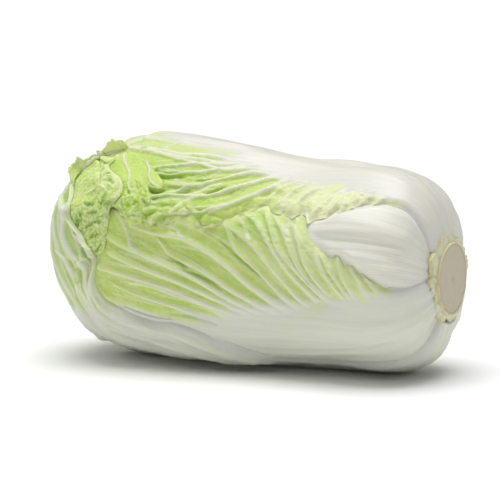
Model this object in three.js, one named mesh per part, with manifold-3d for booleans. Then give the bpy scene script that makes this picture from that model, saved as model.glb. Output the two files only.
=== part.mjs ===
// A head of Chinese cabbage lying on its side, in millimetres, +Z up.
// The cut stem points along +X and the leaf tips close the head at -X. Five large outer leaves wrap the
// packed heart, one over the other, each with a thick white midrib, raised side veins and a waved edge.
// A leaf is a thin sheet laid on a round body: s is the length along its midrib from the root, side is the
// angle from the midrib round the body, and each leaf lies on the ones under it, with a small gap.
import * as THREE from "three";
import Module from "manifold-3d";

const wasm = await Module();
wasm.setup();

// Driving dimensions of the body that the outer leaves lie on.
const BASE = { x: 86, z: 69, radius: 57.5, reach: 48.5, power: 2.9, drop: 3 };
const TIP = { x: -78, z: 76.8, radius: 67.5, reach: 67, power: 2.15, rise: 8 };
const BARREL_RADII = [[TIP.x, TIP.radius], [-34, 67], [30, 59], [BASE.x, BASE.radius]];
const BARREL_CENTRES = [[TIP.x, TIP.z], [-34, 74.6], [30, 68.8], [BASE.x, BASE.z]];
const ROOT_ANGLE = 62;
const SHOULDER = 72;
const BARREL_END = SHOULDER + BASE.x - TIP.x;
const TIP_ARC = 76;
const MM_PER_DEGREE = 1.29;

// How the sheets lie on each other.
const LAYER_GAP = 1.5;
const HEART_GAP = 1.2;
const EDGE_MARGIN = 3;
const EDGE_RAMP = 22;

// The cut stem, as [x, radius] pairs from its inner end to the cut face.
const STEM_PROFILE = [
  [114, 18], [131, 22.6], [136, 24.2], [138.8, 27], [140.6, 27.6], [141.2, 26], [140.6, 24.4], [142.2, 23.8],
  [142.6, 23],
];
const STEM_SIDES = 40;

// Leaf sheets.
const BLADE = 1.3;
const VEIN_HEIGHT = 1.5;
const EDGE_LIFT = 2.2;
const LOBE = 2.2;
const RIB_THICKNESS = [
  [0, 2.2], [25, 5.2], [60, 6], [120, 4.8], [180, 3.6], [240, 2.4], [300, 1.2], [420, 0.6],
];
const SWEEP = [[0, 0], [0.12, 0.12], [0.3, 0.58], [0.5, 1], [0.7, 0.92], [0.85, 0.5], [1, 0]];

const radians = THREE.MathUtils.degToRad;
const degrees = THREE.MathUtils.radToDeg;
const clamp = THREE.MathUtils.clamp;
const ease = (t) => THREE.MathUtils.smoothstep(t, 0, 1);

// A smooth curve through [x, y] pairs, level at and beyond both ends.
function curve(knots, x) {
  const last = knots.length - 1;
  const slope = (i) => {
    if (i === 0 || i === last) return 0;
    return (knots[i + 1][1] - knots[i - 1][1]) / (knots[i + 1][0] - knots[i - 1][0]);
  };
  const at = clamp(x, knots[0][0], knots[last][0]);
  let i = 0;
  while (i < last - 1 && at > knots[i + 1][0]) i++;
  const [x0, y0] = knots[i];
  const [x1, y1] = knots[i + 1];
  const h = x1 - x0;
  const t = (at - x0) / h;
  const rise = h * (slope(i) * (t ** 3 - 2 * t * t + t) + slope(i + 1) * (t ** 3 - t * t));
  return y0 * (2 * t ** 3 - 3 * t * t + 1) + y1 * (3 * t * t - 2 * t ** 3) + rise;
}

// The leaves, from the innermost to the outermost. phi is the midrib's angle round the head at the root: 0 is
// the front, 90 the top. twist is how far the midrib turns round the head on its way to the tip. low and high
// are the half widths in degrees on each side of the midrib, along its length. sweep is how far the side
// veins run forward from the midrib to the edge, and loose is how far the leaf stands off the ones under it,
// past the usual gap.
const LEAVES = [
  {
    name: "inner_front_leaf", phi: 23, twist: 0, loose: 0, length: 278, rows: 22, columns: 16, sweep: 66,
    low: [[0, 56], [20, 50], [60, 54], [100, 66], [160, 76], [220, 70], [250, 52], [268, 28], [278, 8]],
    high: [[0, 56], [20, 50], [60, 54], [100, 66], [160, 76], [220, 70], [250, 52], [268, 28], [278, 8]],
    rib: [[0, 52], [40, 46], [80, 36], [120, 26], [200, 14], [278, 6]],
  },
  {
    name: "back_leaf", phi: 167, twist: 0, loose: 0, length: 350, rows: 26, columns: 16, sweep: 60,
    low: [
      [0, 56], [20, 50], [45, 48], [70, 57], [100, 68], [160, 78], [236, 78], [290, 66], [320, 48], [340, 28],
      [350, 8],
    ],
    high: [
      [0, 56], [20, 50], [45, 48], [70, 57], [100, 68], [160, 78], [236, 78], [290, 66], [320, 48], [340, 28],
      [350, 8],
    ],
    rib: [[0, 52], [40, 46], [80, 36], [130, 24], [230, 12], [350, 5]],
  },
  {
    name: "front_leaf", phi: -47, twist: 0, loose: 0.2, length: 276, rows: 26, columns: 18, sweep: 66,
    low: [
      [0, 50], [20, 46], [40, 50], [60, 56], [100, 66], [160, 70], [220, 66], [250, 50], [268, 26], [276, 8],
    ],
    high: [
      [0, 50], [13, 45], [33, 43], [47, 49], [62, 56], [70, 67], [86, 70], [100, 83], [121, 85], [140, 80],
      [170, 76], [210, 76], [240, 66], [262, 40], [276, 8],
    ],
    rib: [[0, 48], [30, 43], [94, 31], [129, 27], [166, 20], [204, 15], [276, 8]],
  },
  {
    name: "top_leaf", phi: 95, twist: 0, loose: 0.4, length: 276, rows: 26, columns: 18, sweep: 66,
    low: [
      [0, 58], [18, 47], [32, 41], [50, 43], [66, 53], [80, 61], [95, 68], [130, 69], [160, 75], [190, 80],
      [215, 76], [237, 67], [254, 48], [268, 24], [276, 8],
    ],
    high: [
      [0, 58], [20, 48], [35, 44], [55, 50], [75, 62], [100, 72], [150, 76], [190, 78], [225, 72], [250, 54],
      [267, 28], [276, 8],
    ],
    rib: [[0, 52], [40, 40], [109, 30], [185, 17], [226, 10], [276, 6]],
  },
  {
    name: "under_leaf", phi: -112, twist: 24, loose: 0.9, length: 420, rows: 38, columns: 16, sweep: 30,
    low: [
      [0, 54], [25, 47], [50, 50], [80, 58], [120, 66], [180, 72], [236, 76], [330, 74], [380, 58], [405, 34],
      [420, 10],
    ],
    high: [
      [0, 50], [29, 47], [51, 51], [92, 45], [153, 36], [185, 38], [211, 44], [230, 54], [254, 66], [275, 75],
      [300, 80], [350, 80], [386, 72], [400, 52], [413, 26], [420, 10],
    ],
    rib: [[0, 50], [40, 44], [100, 32], [170, 22], [236, 16], [330, 9], [420, 5]],
  },
];

// The top leaf's tip is turned back over its own front half: a fan round a pivot, as [angle, radius] pairs.
// The angle is measured from the direction back to the root towards the front.
const FOLD = {
  s: 242, phi: 67, from: 24, to: 104, thickness: 3,
  reach: [[24, 34], [34, 53], [44, 54], [60, 45], [73, 50], [88, 48], [104, 40]],
};

// The crumpled tip of the outermost heart leaf, as [angle round the head, s of its edge] pairs.
const CURL = {
  root: 318, dive: 292, thickness: 5,
  edge: [[0, 248], [9, 232], [22, 237], [33, 229], [46, 233], [60, 243], [80, 264]],
};

const around = (angle) => new THREE.Vector3(0, -Math.cos(radians(angle)), Math.sin(radians(angle)));
const alongX = new THREE.Vector3(1, 0, 0);

function superellipse(angle, cap) {
  const across = Math.abs(Math.cos(angle)) / cap.radius;
  const along = Math.abs(Math.sin(angle)) / cap.reach;
  return (across ** cap.power + along ** cap.power) ** (-1 / cap.power);
}

// The direction out of the tip cap at a spot, where a leaf lies over the end of the head like a hood.
function hoodDirection({ phi, s, side }) {
  const over = (s - BARREL_END) / TIP_ARC;
  const turn = radians(side);
  return around(phi)
    .multiplyScalar(Math.cos(turn) * Math.cos(over))
    .addScaledVector(alongX, -Math.cos(turn) * Math.sin(over))
    .addScaledVector(around(phi + 90), Math.sin(turn));
}

// The point at a height over the body. A spot is { phi, s, side }: a midrib's angle, the length along it and
// the side angle.
function place(spot, height) {
  const { phi, s, side } = spot;
  if (s < SHOULDER) {
    const toRoot = 1 - s / SHOULDER;
    const lean = radians(ROOT_ANGLE) * toRoot;
    const out = around(phi + side).multiplyScalar(Math.cos(lean)).addScaledVector(alongX, Math.sin(lean));
    const centre = new THREE.Vector3(BASE.x, 0, BASE.z - BASE.drop * toRoot * toRoot);
    return out.multiplyScalar(superellipse(lean, BASE) + height).add(centre);
  }
  if (s > BARREL_END) {
    const out = hoodDirection(spot);
    const lean = Math.asin(clamp(-out.x, -1, 1));
    const centre = new THREE.Vector3(TIP.x, 0, TIP.z + TIP.rise * (lean / (Math.PI / 2)) ** 2);
    return out.multiplyScalar(superellipse(lean, TIP) + height).add(centre);
  }
  const x = BASE.x - (s - SHOULDER);
  const out = around(phi + side).multiplyScalar(curve(BARREL_RADII, x) + height);
  return out.add(new THREE.Vector3(x, 0, curve(BARREL_CENTRES, x)));
}

const midribAngle = (leaf, s) => leaf.phi + leaf.twist * ease(s / BARREL_END);
const wrapped = (angle) => THREE.MathUtils.euclideanModulo(angle + 180, 360) - 180;

// Where a spot lies on a leaf: [length along its midrib, side angle].
function onLeaf(leaf, spot) {
  if (spot.s <= BARREL_END) return [spot.s, wrapped(spot.phi + spot.side - midribAngle(leaf, spot.s))];
  const out = hoodDirection(spot);
  const middle = midribAngle(leaf, BARREL_END);
  const over = Math.atan2(-out.x, out.dot(around(middle)));
  return [BARREL_END + over * TIP_ARC, degrees(Math.asin(clamp(out.dot(around(middle + 90)), -1, 1)))];
}

// Where a spot lies on the whole head: [length along the head, angle round it].
function onHead(spot) {
  if (spot.s <= BARREL_END) return [spot.s, wrapped(spot.phi + spot.side)];
  const out = hoodDirection(spot);
  return [BARREL_END + Math.asin(clamp(-out.x, -1, 1)) * TIP_ARC, degrees(Math.atan2(out.z, -out.y))];
}

const halfWidth = (leaf, s, side) => curve(side < 0 ? leaf.low : leaf.high, s);

// A cover is 1 inside an outline and a little past it, and then falls to 0.
const coverPast = (distance) => ease(1 - (distance - EDGE_MARGIN) / EDGE_RAMP);

function leafCover(leaf, s, side) {
  const pastSide = (Math.abs(side) - halfWidth(leaf, s, side) - LOBE) * MM_PER_DEGREE;
  return coverPast(Math.max(pastSide, s - leaf.length));
}

function leafThickness(leaf, s, side) {
  const t = clamp(Math.abs(side) / curve(leaf.rib, s), 0, 1);
  return BLADE + curve(RIB_THICKNESS, s) * (1 - t * t) ** 1.5;
}

function foldCover(spot) {
  const [s, phi] = onHead(spot);
  const back = FOLD.s - s;
  const down = (FOLD.phi - phi) * MM_PER_DEGREE;
  const radius = Math.hypot(back, down);
  const angle = degrees(Math.atan2(down, back));
  const pastSide = radius * radians(Math.max(FOLD.from - angle, angle - FOLD.to));
  return coverPast(Math.max(radius - curve(FOLD.reach, angle), pastSide));
}

function curlCover(spot) {
  const [s, phi] = onHead(spot);
  const first = CURL.edge[0][0];
  const last = CURL.edge.at(-1)[0];
  const pastSide = Math.max(first - phi, phi - last) * MM_PER_DEGREE;
  return coverPast(Math.max(curve(CURL.edge, phi) - s, pastSide));
}

// The crumple of the curled tip flattens where the next leaf lies over it.
const curlFreedom = (s, phi) => 1 - ease((s - curve(CURL.edge, phi) - 22) / 26);

const topLeaf = LEAVES[3];
const layerOf = (leaf) => ({
  cover: (spot) => leafCover(leaf, ...onLeaf(leaf, spot)),
  height: (spot) => leafThickness(leaf, ...onLeaf(leaf, spot)) + LAYER_GAP + leaf.loose,
});
const foldLayer = { cover: foldCover, height: () => FOLD.thickness };
const curlLayer = {
  cover: curlCover,
  height: (spot) => 1.6 + (CURL.thickness - 1.6) * curlFreedom(...onHead(spot)) + LAYER_GAP,
};
const layers = [...LEAVES.slice(0, 4).map(layerOf), foldLayer, curlLayer, layerOf(LEAVES[4])];
const layerIndex = { fold: 4, curl: 5, under_leaf: 6 };

// The height over the body of what lies under a layer.
const underside = (order, spot) => layers.slice(0, order)
  .reduce((height, layer) => height + layer.cover(spot) * layer.height(spot), LAYER_GAP);

// 1 where no layer further out lies over a spot.
const bare = (order, spot) => layers.slice(order + 1)
  .reduce((share, layer) => share * (1 - layer.cover(spot)), 1);

// A closed sheet between two grids of points. u runs 0 to 1 along rows, v runs -1 to 1 across columns.
function sheetGeometry(rows, columns, pointPair) {
  const across = columns + 1;
  const count = (rows + 1) * across;
  const positions = new Float32Array(count * 6);
  for (let i = 0; i <= rows; i++) {
    for (let j = 0; j <= columns; j++) {
      const [upper, lower] = pointPair(i / rows, (2 * j) / columns - 1);
      upper.toArray(positions, (i * across + j) * 3);
      lower.toArray(positions, (count + i * across + j) * 3);
    }
  }
  const index = [];
  const quad = (a, b, c, d) => index.push(a, b, c, a, c, d);
  for (let i = 0; i < rows; i++) {
    for (let j = 0; j < columns; j++) {
      const a = i * across + j;
      quad(a, a + 1, a + across + 1, a + across);
      quad(count + a, count + a + across, count + a + across + 1, count + a + 1);
    }
    const left = i * across;
    const right = left + columns;
    quad(left, left + across, count + left + across, count + left);
    quad(right, count + right, count + right + across, right + across);
  }
  for (let j = 0; j < columns; j++) {
    const end = rows * across + j;
    quad(j, count + j, count + j + 1, j + 1);
    quad(end, end + 1, count + end + 1, count + end);
  }
  return indexed(positions, index);
}

function indexed(positions, index) {
  const attribute = new THREE.BufferAttribute(new Float32Array(positions), 3);
  return new THREE.BufferGeometry().setAttribute("position", attribute).setIndex(Array.from(index));
}

// The head rests on the flat that its own weight presses into the lowest leaf.
function onFloor(point) {
  point.z = Math.max(point.z, 0);
  return point;
}

// Rows of a leaf run along its side veins, so that every second row is a vein and the next one is a fold.
function leafSheet(leaf, order) {
  return sheetGeometry(leaf.rows, leaf.columns, (u, v) => {
    const edge = Math.abs(v);
    const s = Math.min(leaf.length, leaf.length * u + leaf.sweep * curve(SWEEP, u) * edge ** 1.15);
    const wave = Math.cos(Math.PI * leaf.rows * u);
    const room = s > BARREL_END ? Math.cos(radians(halfWidth(leaf, s, v))) : 1;
    const lobes = LOBE * wave * ease((s - 30) / 30) * ease((leaf.length - s) / 20) * room;
    const side = Math.sign(v) * edge ** 1.08 * (halfWidth(leaf, s, v) + lobes * edge);
    const spot = { phi: midribAngle(leaf, s), s, side };
    const outside = bare(order, spot) ** 2;
    const veinShare = ease((edge - 0.2) / 0.25) * ease((s - 45) / 40) * ease((leaf.length - s) / 30);
    const vein = VEIN_HEIGHT * 0.5 * (1 + wave) * veinShare * outside;
    const atEdge = ease((edge - 0.78) / 0.22) * ease((s - 40) / 30) * outside * room;
    const lift = EDGE_LIFT * (0.5 - 0.5 * wave) * atEdge;
    const pad = leaf === topLeaf ? foldCover(spot) : 0;
    const low = underside(order, spot) + leaf.loose + lift;
    return [onFloor(place(spot, low + leafThickness(leaf, s, side) + vein + pad)), place(spot, low)];
  });
}

const crumple = (a, b) => 0.5 + 0.5 * Math.sin(a + 0.6 * b) * Math.cos(b - 0.4 * a);

// The fold is sunk into the thickened top leaf.
function foldedTip() {
  return sheetGeometry(6, 10, (u, v) => {
    const angle = (FOLD.from + FOLD.to) / 2 + (v * (FOLD.to - FOLD.from)) / 2;
    const radius = 5 + (curve(FOLD.reach, angle) - 5) * u;
    const s = FOLD.s - radius * Math.cos(radians(angle));
    const phi = FOLD.phi - (radius * Math.sin(radians(angle))) / MM_PER_DEGREE;
    const spot = { phi, s, side: 0 };
    const top = underside(layerIndex.fold, spot) - LAYER_GAP + 1;
    const height = 1 + 2 * crumple(9 * v, 5 * u);
    return [place(spot, top + height), place(spot, top - 1.2)];
  });
}

// The curled tip grows out of the heart, comes over the end of the head and lies on the edges of the leaves.
function curledTip() {
  const first = CURL.edge[0][0];
  const last = CURL.edge.at(-1)[0];
  return sheetGeometry(14, 14, (u, v) => {
    const phi = last + ((first - last) * (1 - v)) / 2;
    const ruffle = 4 * Math.sin(7 * v + 0.7) * (1 - u) ** 3;
    const edge = curve(CURL.edge, phi) + ruffle;
    const s = edge + (CURL.root - edge) * u;
    const spot = { phi, s, side: 0 };
    const dive = ease((s - CURL.dive) / (CURL.root - CURL.dive));
    const low = underside(layerIndex.curl, spot) * (1 - dive) - (HEART_GAP + 3) * dive;
    const free = curlFreedom(s, phi) * (1 - dive);
    const height = 1.6 + (CURL.thickness - 1.6) * free * crumple(8 * v, 11 * u) + 2 * dive;
    return [place(spot, low + height), place(spot, low)];
  });
}

// The packed heart fills the body, and has a socket for the stem.
function heartGeometry(rows = 18, sides = 28) {
  const tipS = BARREL_END + (Math.PI / 2) * TIP_ARC;
  const rings = [];
  for (let i = 0; i < rows; i++) {
    const s = (i / rows) * tipS;
    const ring = [];
    for (let j = 0; j < sides; j++) {
      const phi = (360 * j) / sides;
      const crease = s > BARREL_END ? 1.6 * Math.sin(radians(phi * 4) + s * 0.12) ** 2 : 0;
      ring.push(place({ phi, s, side: 0 }, -HEART_GAP - crease));
    }
    rings.push(ring);
  }
  const socketPoint = new THREE.Vector3(STEM_PROFILE[0][0] - 0.5, 0, BASE.z - BASE.drop);
  const socketRadius = STEM_PROFILE[0][1] + 1;
  rings.unshift(Array.from({ length: sides }, (_, j) => (
    around((360 * j) / sides).multiplyScalar(socketRadius).add(socketPoint)
  )));
  const tipPoint = place({ phi: 0, s: tipS, side: 0 }, -HEART_GAP);
  return lathed(rings, socketPoint, tipPoint);
}

// A closed body of rings of points, from its first end to its last.
function lathed(rings, firstPoint, lastPoint) {
  const sides = rings[0].length;
  const points = [...rings.flat(), firstPoint, lastPoint];
  const first = points.length - 2;
  const last = points.length - 1;
  const lastRing = (rings.length - 1) * sides;
  const index = [];
  for (let j = 0; j < sides; j++) {
    const next = (j + 1) % sides;
    for (let i = 0; i < rings.length - 1; i++) {
      const a = i * sides + j;
      const b = i * sides + next;
      index.push(a, b, b + sides, a, b + sides, a + sides);
    }
    index.push(first, next, j, last, lastRing + j, lastRing + next);
  }
  return new THREE.BufferGeometry().setFromPoints(points).setIndex(index);
}

// The stem: a round cut face, and round it the torn roots of leaves that were pulled off.
function stemGeometry() {
  const rings = STEM_PROFILE.map(([x, radius], ring) => Array.from({ length: STEM_SIDES }, (_, j) => {
    const turn = (2 * Math.PI * j) / STEM_SIDES;
    const torn = ring >= 3 && ring <= 5 ? 0.7 * Math.sin(5 * turn) * Math.cos(8 * turn + 1) : 0;
    const wobble = 1 + 0.015 * Math.sin(3 * turn + 0.6);
    const centre = new THREE.Vector3(x + torn, 0, BASE.z - BASE.drop);
    return around(degrees(turn)).multiplyScalar((radius + torn) * wobble).add(centre);
  }));
  const end = (x) => new THREE.Vector3(x, 0, BASE.z - BASE.drop);
  return lathed(rings.reverse(), end(STEM_PROFILE.at(-1)[0]), end(STEM_PROFILE[0][0]));
}

function toSolid(geometry) {
  const mesh = new wasm.Mesh({
    numProp: 3,
    vertProperties: new Float32Array(geometry.attributes.position.array),
    triVerts: new Uint32Array(geometry.index.array),
  });
  return new wasm.Manifold(mesh);
}

function joined(first, second) {
  const mesh = toSolid(first).add(toSolid(second)).getMesh();
  return indexed(mesh.vertProperties, mesh.triVerts);
}

const leafColour = new THREE.MeshStandardMaterial({ color: 0xc3d694, roughness: 0.5, metalness: 0 });
const heartColour = new THREE.MeshStandardMaterial({ color: 0xd6dd8f, roughness: 0.6, metalness: 0 });
const stemColour = new THREE.MeshStandardMaterial({ color: 0xcdc0a6, roughness: 0.7, metalness: 0 });

const head = new THREE.Group();
function add(name, geometry, material) {
  geometry.computeVertexNormals();
  const mesh = new THREE.Mesh(geometry, material);
  mesh.name = name;
  head.add(mesh);
}

add("stem", stemGeometry(), stemColour);
add("heart", joined(heartGeometry(), curledTip()), heartColour);
LEAVES.forEach((leaf, index) => {
  const sheet = leafSheet(leaf, layerIndex[leaf.name] ?? index);
  add(leaf.name, leaf === topLeaf ? joined(sheet, foldedTip()) : sheet, leafColour);
});

// The origin is under the middle of the head, on the surface that it rests on.
const middle = new THREE.Box3().setFromObject(head).getCenter(new THREE.Vector3());
head.position.set(-middle.x, -middle.y, 0);

export default head;
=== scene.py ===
import math

import bpy
import numpy as np
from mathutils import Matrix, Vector


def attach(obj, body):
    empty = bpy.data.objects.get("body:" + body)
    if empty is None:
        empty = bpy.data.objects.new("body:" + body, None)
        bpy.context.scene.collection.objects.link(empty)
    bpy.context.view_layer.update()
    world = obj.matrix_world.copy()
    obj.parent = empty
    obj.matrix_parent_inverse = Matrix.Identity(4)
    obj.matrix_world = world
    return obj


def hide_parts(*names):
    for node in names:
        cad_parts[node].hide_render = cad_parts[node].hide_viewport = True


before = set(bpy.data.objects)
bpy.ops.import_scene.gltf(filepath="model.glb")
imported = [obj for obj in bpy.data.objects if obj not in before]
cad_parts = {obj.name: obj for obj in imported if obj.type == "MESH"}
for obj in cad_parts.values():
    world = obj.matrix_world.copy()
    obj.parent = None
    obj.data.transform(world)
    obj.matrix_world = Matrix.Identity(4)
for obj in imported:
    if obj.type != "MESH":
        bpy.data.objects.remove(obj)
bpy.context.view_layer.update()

MM = 0.001

# The body that the leaves lie on.
BASE = dict(x=86, z=69, radius=57.5, reach=48.5, power=2.9, drop=3)
TIP = dict(x=-78, z=76.8, radius=67.5, reach=67, power=2.15, rise=8)
BARREL_RADII = [(-78, 67.5), (-34, 67), (30, 59), (86, 57.5)]
BARREL_CENTRES = [(-78, 76.8), (-34, 74.6), (30, 68.8), (86, 69)]
ROOT_ANGLE = 62
SHOULDER = 72
BARREL_END = SHOULDER + BASE["x"] - TIP["x"]
TIP_ARC = 76
MM_PER_DEGREE = 1.29
CUT_FACE = (142.6, 0, BASE["z"] - BASE["drop"])

# How the sheets lie on each other: the gaps between them, and over what width the next one comes down beside
# an edge. BLADE and RIM are the thickness of a blade and of its very edge.
LAYER_GAP = 1.5
HEART_GAP = 1.2
EDGE_MARGIN = 3
EDGE_RAMP = 22
BLADE = 1.3
RIM = 0.35
MOST_DROP = 14
LOBES = dict(count=26, height=1.6, room=2.2)
RIB_THICKNESS = [(0, 2.2), (25, 5.2), (60, 6), (120, 4.8), (180, 3.6), (240, 2.4), (300, 1.2), (420, 0.6)]
SWEEP = [(0, 0), (0.12, 0.12), (0.3, 0.58), (0.5, 1), (0.7, 0.92), (0.85, 0.5), (1, 0)]
# How high in millimetres the parts of a blade's relief stand, or how deep they lie.
RELIEF = dict(valley=1.7, beside=0.7, bulge=0.8, pucker=0.4, wave=0.6, groove=2.4)

# How ragged and waved a margin is along the leaf, as (s, share).
FRILL = [(30, 0), (75, 1)]

# The leaves from the innermost to the outermost. phi is the angle of the midrib round the head at the root,
# and twist is how much it turns. low and high are half widths on the two sides of the midrib, as (s, side),
# and rib is the stalk's. sweep and slant shape the rows and the end, and loose lifts the leaf off what is
# under it. frill says how ragged the high margin is, and grid is the mesh's rows and columns.
INNER_WIDTHS = [(0, 56), (20, 50), (60, 54), (100, 66), (160, 76), (220, 70), (250, 52), (268, 28), (278, 8)]
BACK_WIDTHS = [(0, 56), (20, 50), (45, 48), (70, 57), (100, 68), (160, 78), (236, 78), (290, 66), (320, 48),
               (340, 28), (350, 8)]
LEAVES = {
    "inner_front_leaf": dict(
        phi=23, twist=0, loose=0, length=278, sweep=66, grid=(210, 123),
        low=INNER_WIDTHS, high=INNER_WIDTHS,
        rib=[(0, 52), (40, 46), (80, 36), (120, 26), (200, 14), (278, 6)],
    ),
    "back_leaf": dict(
        phi=167, twist=0, loose=0, length=350, sweep=60, grid=(260, 165),
        low=BACK_WIDTHS, high=BACK_WIDTHS,
        rib=[(0, 52), (40, 46), (80, 36), (130, 24), (230, 12), (350, 5)],
    ),
    "front_leaf": dict(
        phi=-47, twist=0, loose=0.2, length=276, sweep=66, grid=(290, 240),
        low=[(0, 50), (20, 46), (40, 50), (60, 56), (100, 66), (160, 70), (220, 66), (250, 50), (268, 26),
             (276, 8)],
        high=[(0, 50), (20, 45), (34, 45), (47, 49), (58, 55), (66, 60), (74, 61), (80, 65), (88, 71),
              (94, 78), (104, 90), (121, 94), (140, 90), (170, 84), (210, 80), (240, 68), (262, 40),
              (276, 8)],
        rib=[(0, 48), (30, 43), (94, 31), (129, 27), (166, 20), (204, 15), (276, 8)],
    ),
    "top_leaf": dict(
        phi=95, twist=0, loose=0.4, length=276, sweep=66, grid=(290, 240),
        low=[(0, 58), (18, 47), (32, 41), (49, 44), (56, 47), (66, 51), (78, 56), (88, 60), (98, 58),
             (110, 61), (119, 58), (127, 55), (134, 59), (142, 66), (160, 72), (169, 75), (178, 71),
             (187, 74), (200, 77), (215, 76), (237, 67), (254, 48), (268, 24), (276, 8)],
        high=[(0, 58), (20, 48), (35, 44), (55, 50), (75, 62), (100, 72), (150, 76), (190, 78), (225, 72),
              (250, 54), (267, 28), (276, 8)],
        rib=[(0, 52), (40, 40), (109, 30), (185, 17), (226, 10), (276, 6)],
    ),
    "under_leaf": dict(
        phi=-112, twist=24, loose=0.9, length=468, slant=29, sweep=20, grid=(400, 174),
        frill=[(262, 0), (300, 0.5)],
        low=[(0, 54), (25, 47), (50, 50), (80, 58), (120, 66), (180, 72), (236, 76), (330, 76), (390, 64),
             (410, 56), (422, 44), (432, 26), (468, 8)],
        high=[(0, 50), (29, 47), (51, 50), (92, 42), (120, 44), (140, 49), (160, 54.5), (183, 59),
              (200, 57.5), (214, 59), (226, 61.5), (236, 64), (244, 66.5), (252, 69.5), (260, 74),
              (266, 79), (274, 83.5), (300, 86), (372, 85), (391, 80), (400, 76), (403, 68), (408, 63),
              (414, 62), (418, 59), (420.5, 50), (422, 43), (424, 37.5), (428, 35), (441, 35), (455, 31.5),
              (462, 30.5), (468, 28)],
        rib=[(0, 50), (40, 44), (100, 32), (170, 22), (236, 14), (330, 8), (472, 4)],
    ),
}

# The top leaf's tip is turned back over its own front half: a fan round a pivot, as (angle, radius).
FOLD = dict(
    s=244, phi=65, start=24, end=104, thickness=3,
    reach=[(24, 28), (30, 37), (32.5, 50), (35, 57), (38, 57), (42, 53), (44.5, 52), (46, 59), (48, 63),
           (50, 60), (51.5, 57), (53, 64), (55.5, 71), (58, 73), (61, 71), (64, 67), (67, 57), (72, 53),
           (85, 56), (104, 50)],
)

# The crumpled tip of the outermost heart leaf: its edge and where it goes down into the heart, as (phi, s),
# its two thicknesses, and how far from its edge the next leaf covers it.
CURL = dict(
    root=318, thickness=2.8, pressed=1.6, covered=34, dive=[(20, 292), (42, 274)],
    edge=[(-4, 252), (1, 237), (5, 234), (10, 234), (16, 232), (22, 232), (25, 230), (28, 226), (31, 224),
          (35, 224), (38, 227), (42, 233), (45, 239), (49, 244), (55, 244), (60, 256), (66, 276), (72, 296)],
)

# Side veins that the eye follows, as (s, phi) from the midrib out.
FRONT_VEINS = [
    [(40, -7), (44, -2), (50, 3)],
    [(45, -11), (51, -3), (59, 9)],
    [(56, -10), (60, -4), (66, 6), (70, 20)],
    [(60, -10), (70, 2), (80, 14)],
    [(63, -12), (72, -2), (81, 10), (84, 18)],
    [(70, -14), (77, -10), (91, 2), (100, 14), (107, 24), (120, 38)],
    [(76, -8), (88, 6), (96, 20), (100, 27), (101, 40)],
    [(74, -14), (84, -6), (98, 6), (110, 16), (118, 28), (128, 42)],
    [(84, -12), (98, 0), (110, 12), (120, 22), (132, 32), (138, 34)],
    [(92, -15), (100, -8), (116, 7), (130, 18), (144, 24)],
    [(98, -17), (113, -7), (126, 4), (140, 14), (148, 25), (154, 27)],
    [(106, -19), (128, -7), (146, 4), (160, 10), (178, 14), (196, 14), (215, 17)],
    [(112, -22), (142, -10), (155, -4), (170, 1), (184, 4), (194, 12)],
    [(118, -25), (147, -14), (164, -7), (182, -2), (202, 2), (222, 6), (234, 10)],
    [(124, -27), (154, -16), (180, -9), (198, -6), (218, -2), (230, 1)],
    [(128, -30), (145, -24), (165, -19), (184, -14), (206, -11), (230, -8), (240, -6)],
    [(134, -33), (158, -22), (184, -16), (203, -13), (216, -13)],
    [(146, -36), (174, -26), (192, -22), (214, -19), (228, -15)],
    [(146, -40), (173, -38), (195, -34), (212, -30), (230, -26), (245, -18)],
]
FRONT_TWIGS = [
    [(130, 18), (133, 23), (137, 28), (142, 32)],
    [(104, 24), (106, 29), (106, 35)],
    [(175, 14), (178, 15), (181, 18), (189, 19)],
    [(209, 4), (214, 6), (216, 10), (218, 14), (222, 19), (230, 24)],
]
# Narrow slits, as (s, phi): the blade is sunk along them and painted deep green, as painted shade.
FRONT_SLITS = [
    [(111, -10), (117, -5), (125, 2), (142, 12), (150, 16)],
    [(150, -10), (156, -7), (166, -4), (176, -2)],
    [(158, -32), (172, -30), (184, -29), (196, -30)],
    [(174, 0), (180, 2), (186, 4)],
]
TOP_VEINS = [
    [(42, 64), (50, 53), (53, 49)],
    [(48, 68), (57, 58), (58, 53), (61, 48)],
    [(54, 72), (64, 56), (66, 50), (66, 44)],
    [(60, 74), (74, 56), (73, 49), (73, 42), (74, 36)],
    [(66, 74), (77, 54), (78, 46), (80, 40)],
    [(70, 76), (82, 55), (89, 42), (94, 32)],
    [(78, 78), (92, 69), (98, 60), (102, 52), (108, 38)],
    [(88, 82), (98, 78), (108, 60), (116, 45), (120, 39)],
    [(96, 82), (108, 77), (112, 67), (124, 51), (128, 43)],
    [(104, 80), (118, 73), (122, 61), (136, 47), (152, 35), (172, 28), (192, 24), (200, 18)],
    [(112, 80), (131, 66), (148, 51), (166, 40), (190, 36), (209, 30)],
    [(120, 78), (143, 68), (159, 58), (176, 46), (196, 43)],
    [(126, 80), (148, 74), (158, 68), (178, 56), (189, 53), (208, 48)],
    [(150, 76), (172, 66), (190, 60), (205, 55), (212, 52)],
    [(140, 78), (154, 68), (166, 62), (188, 62), (218, 64)],
]
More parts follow.
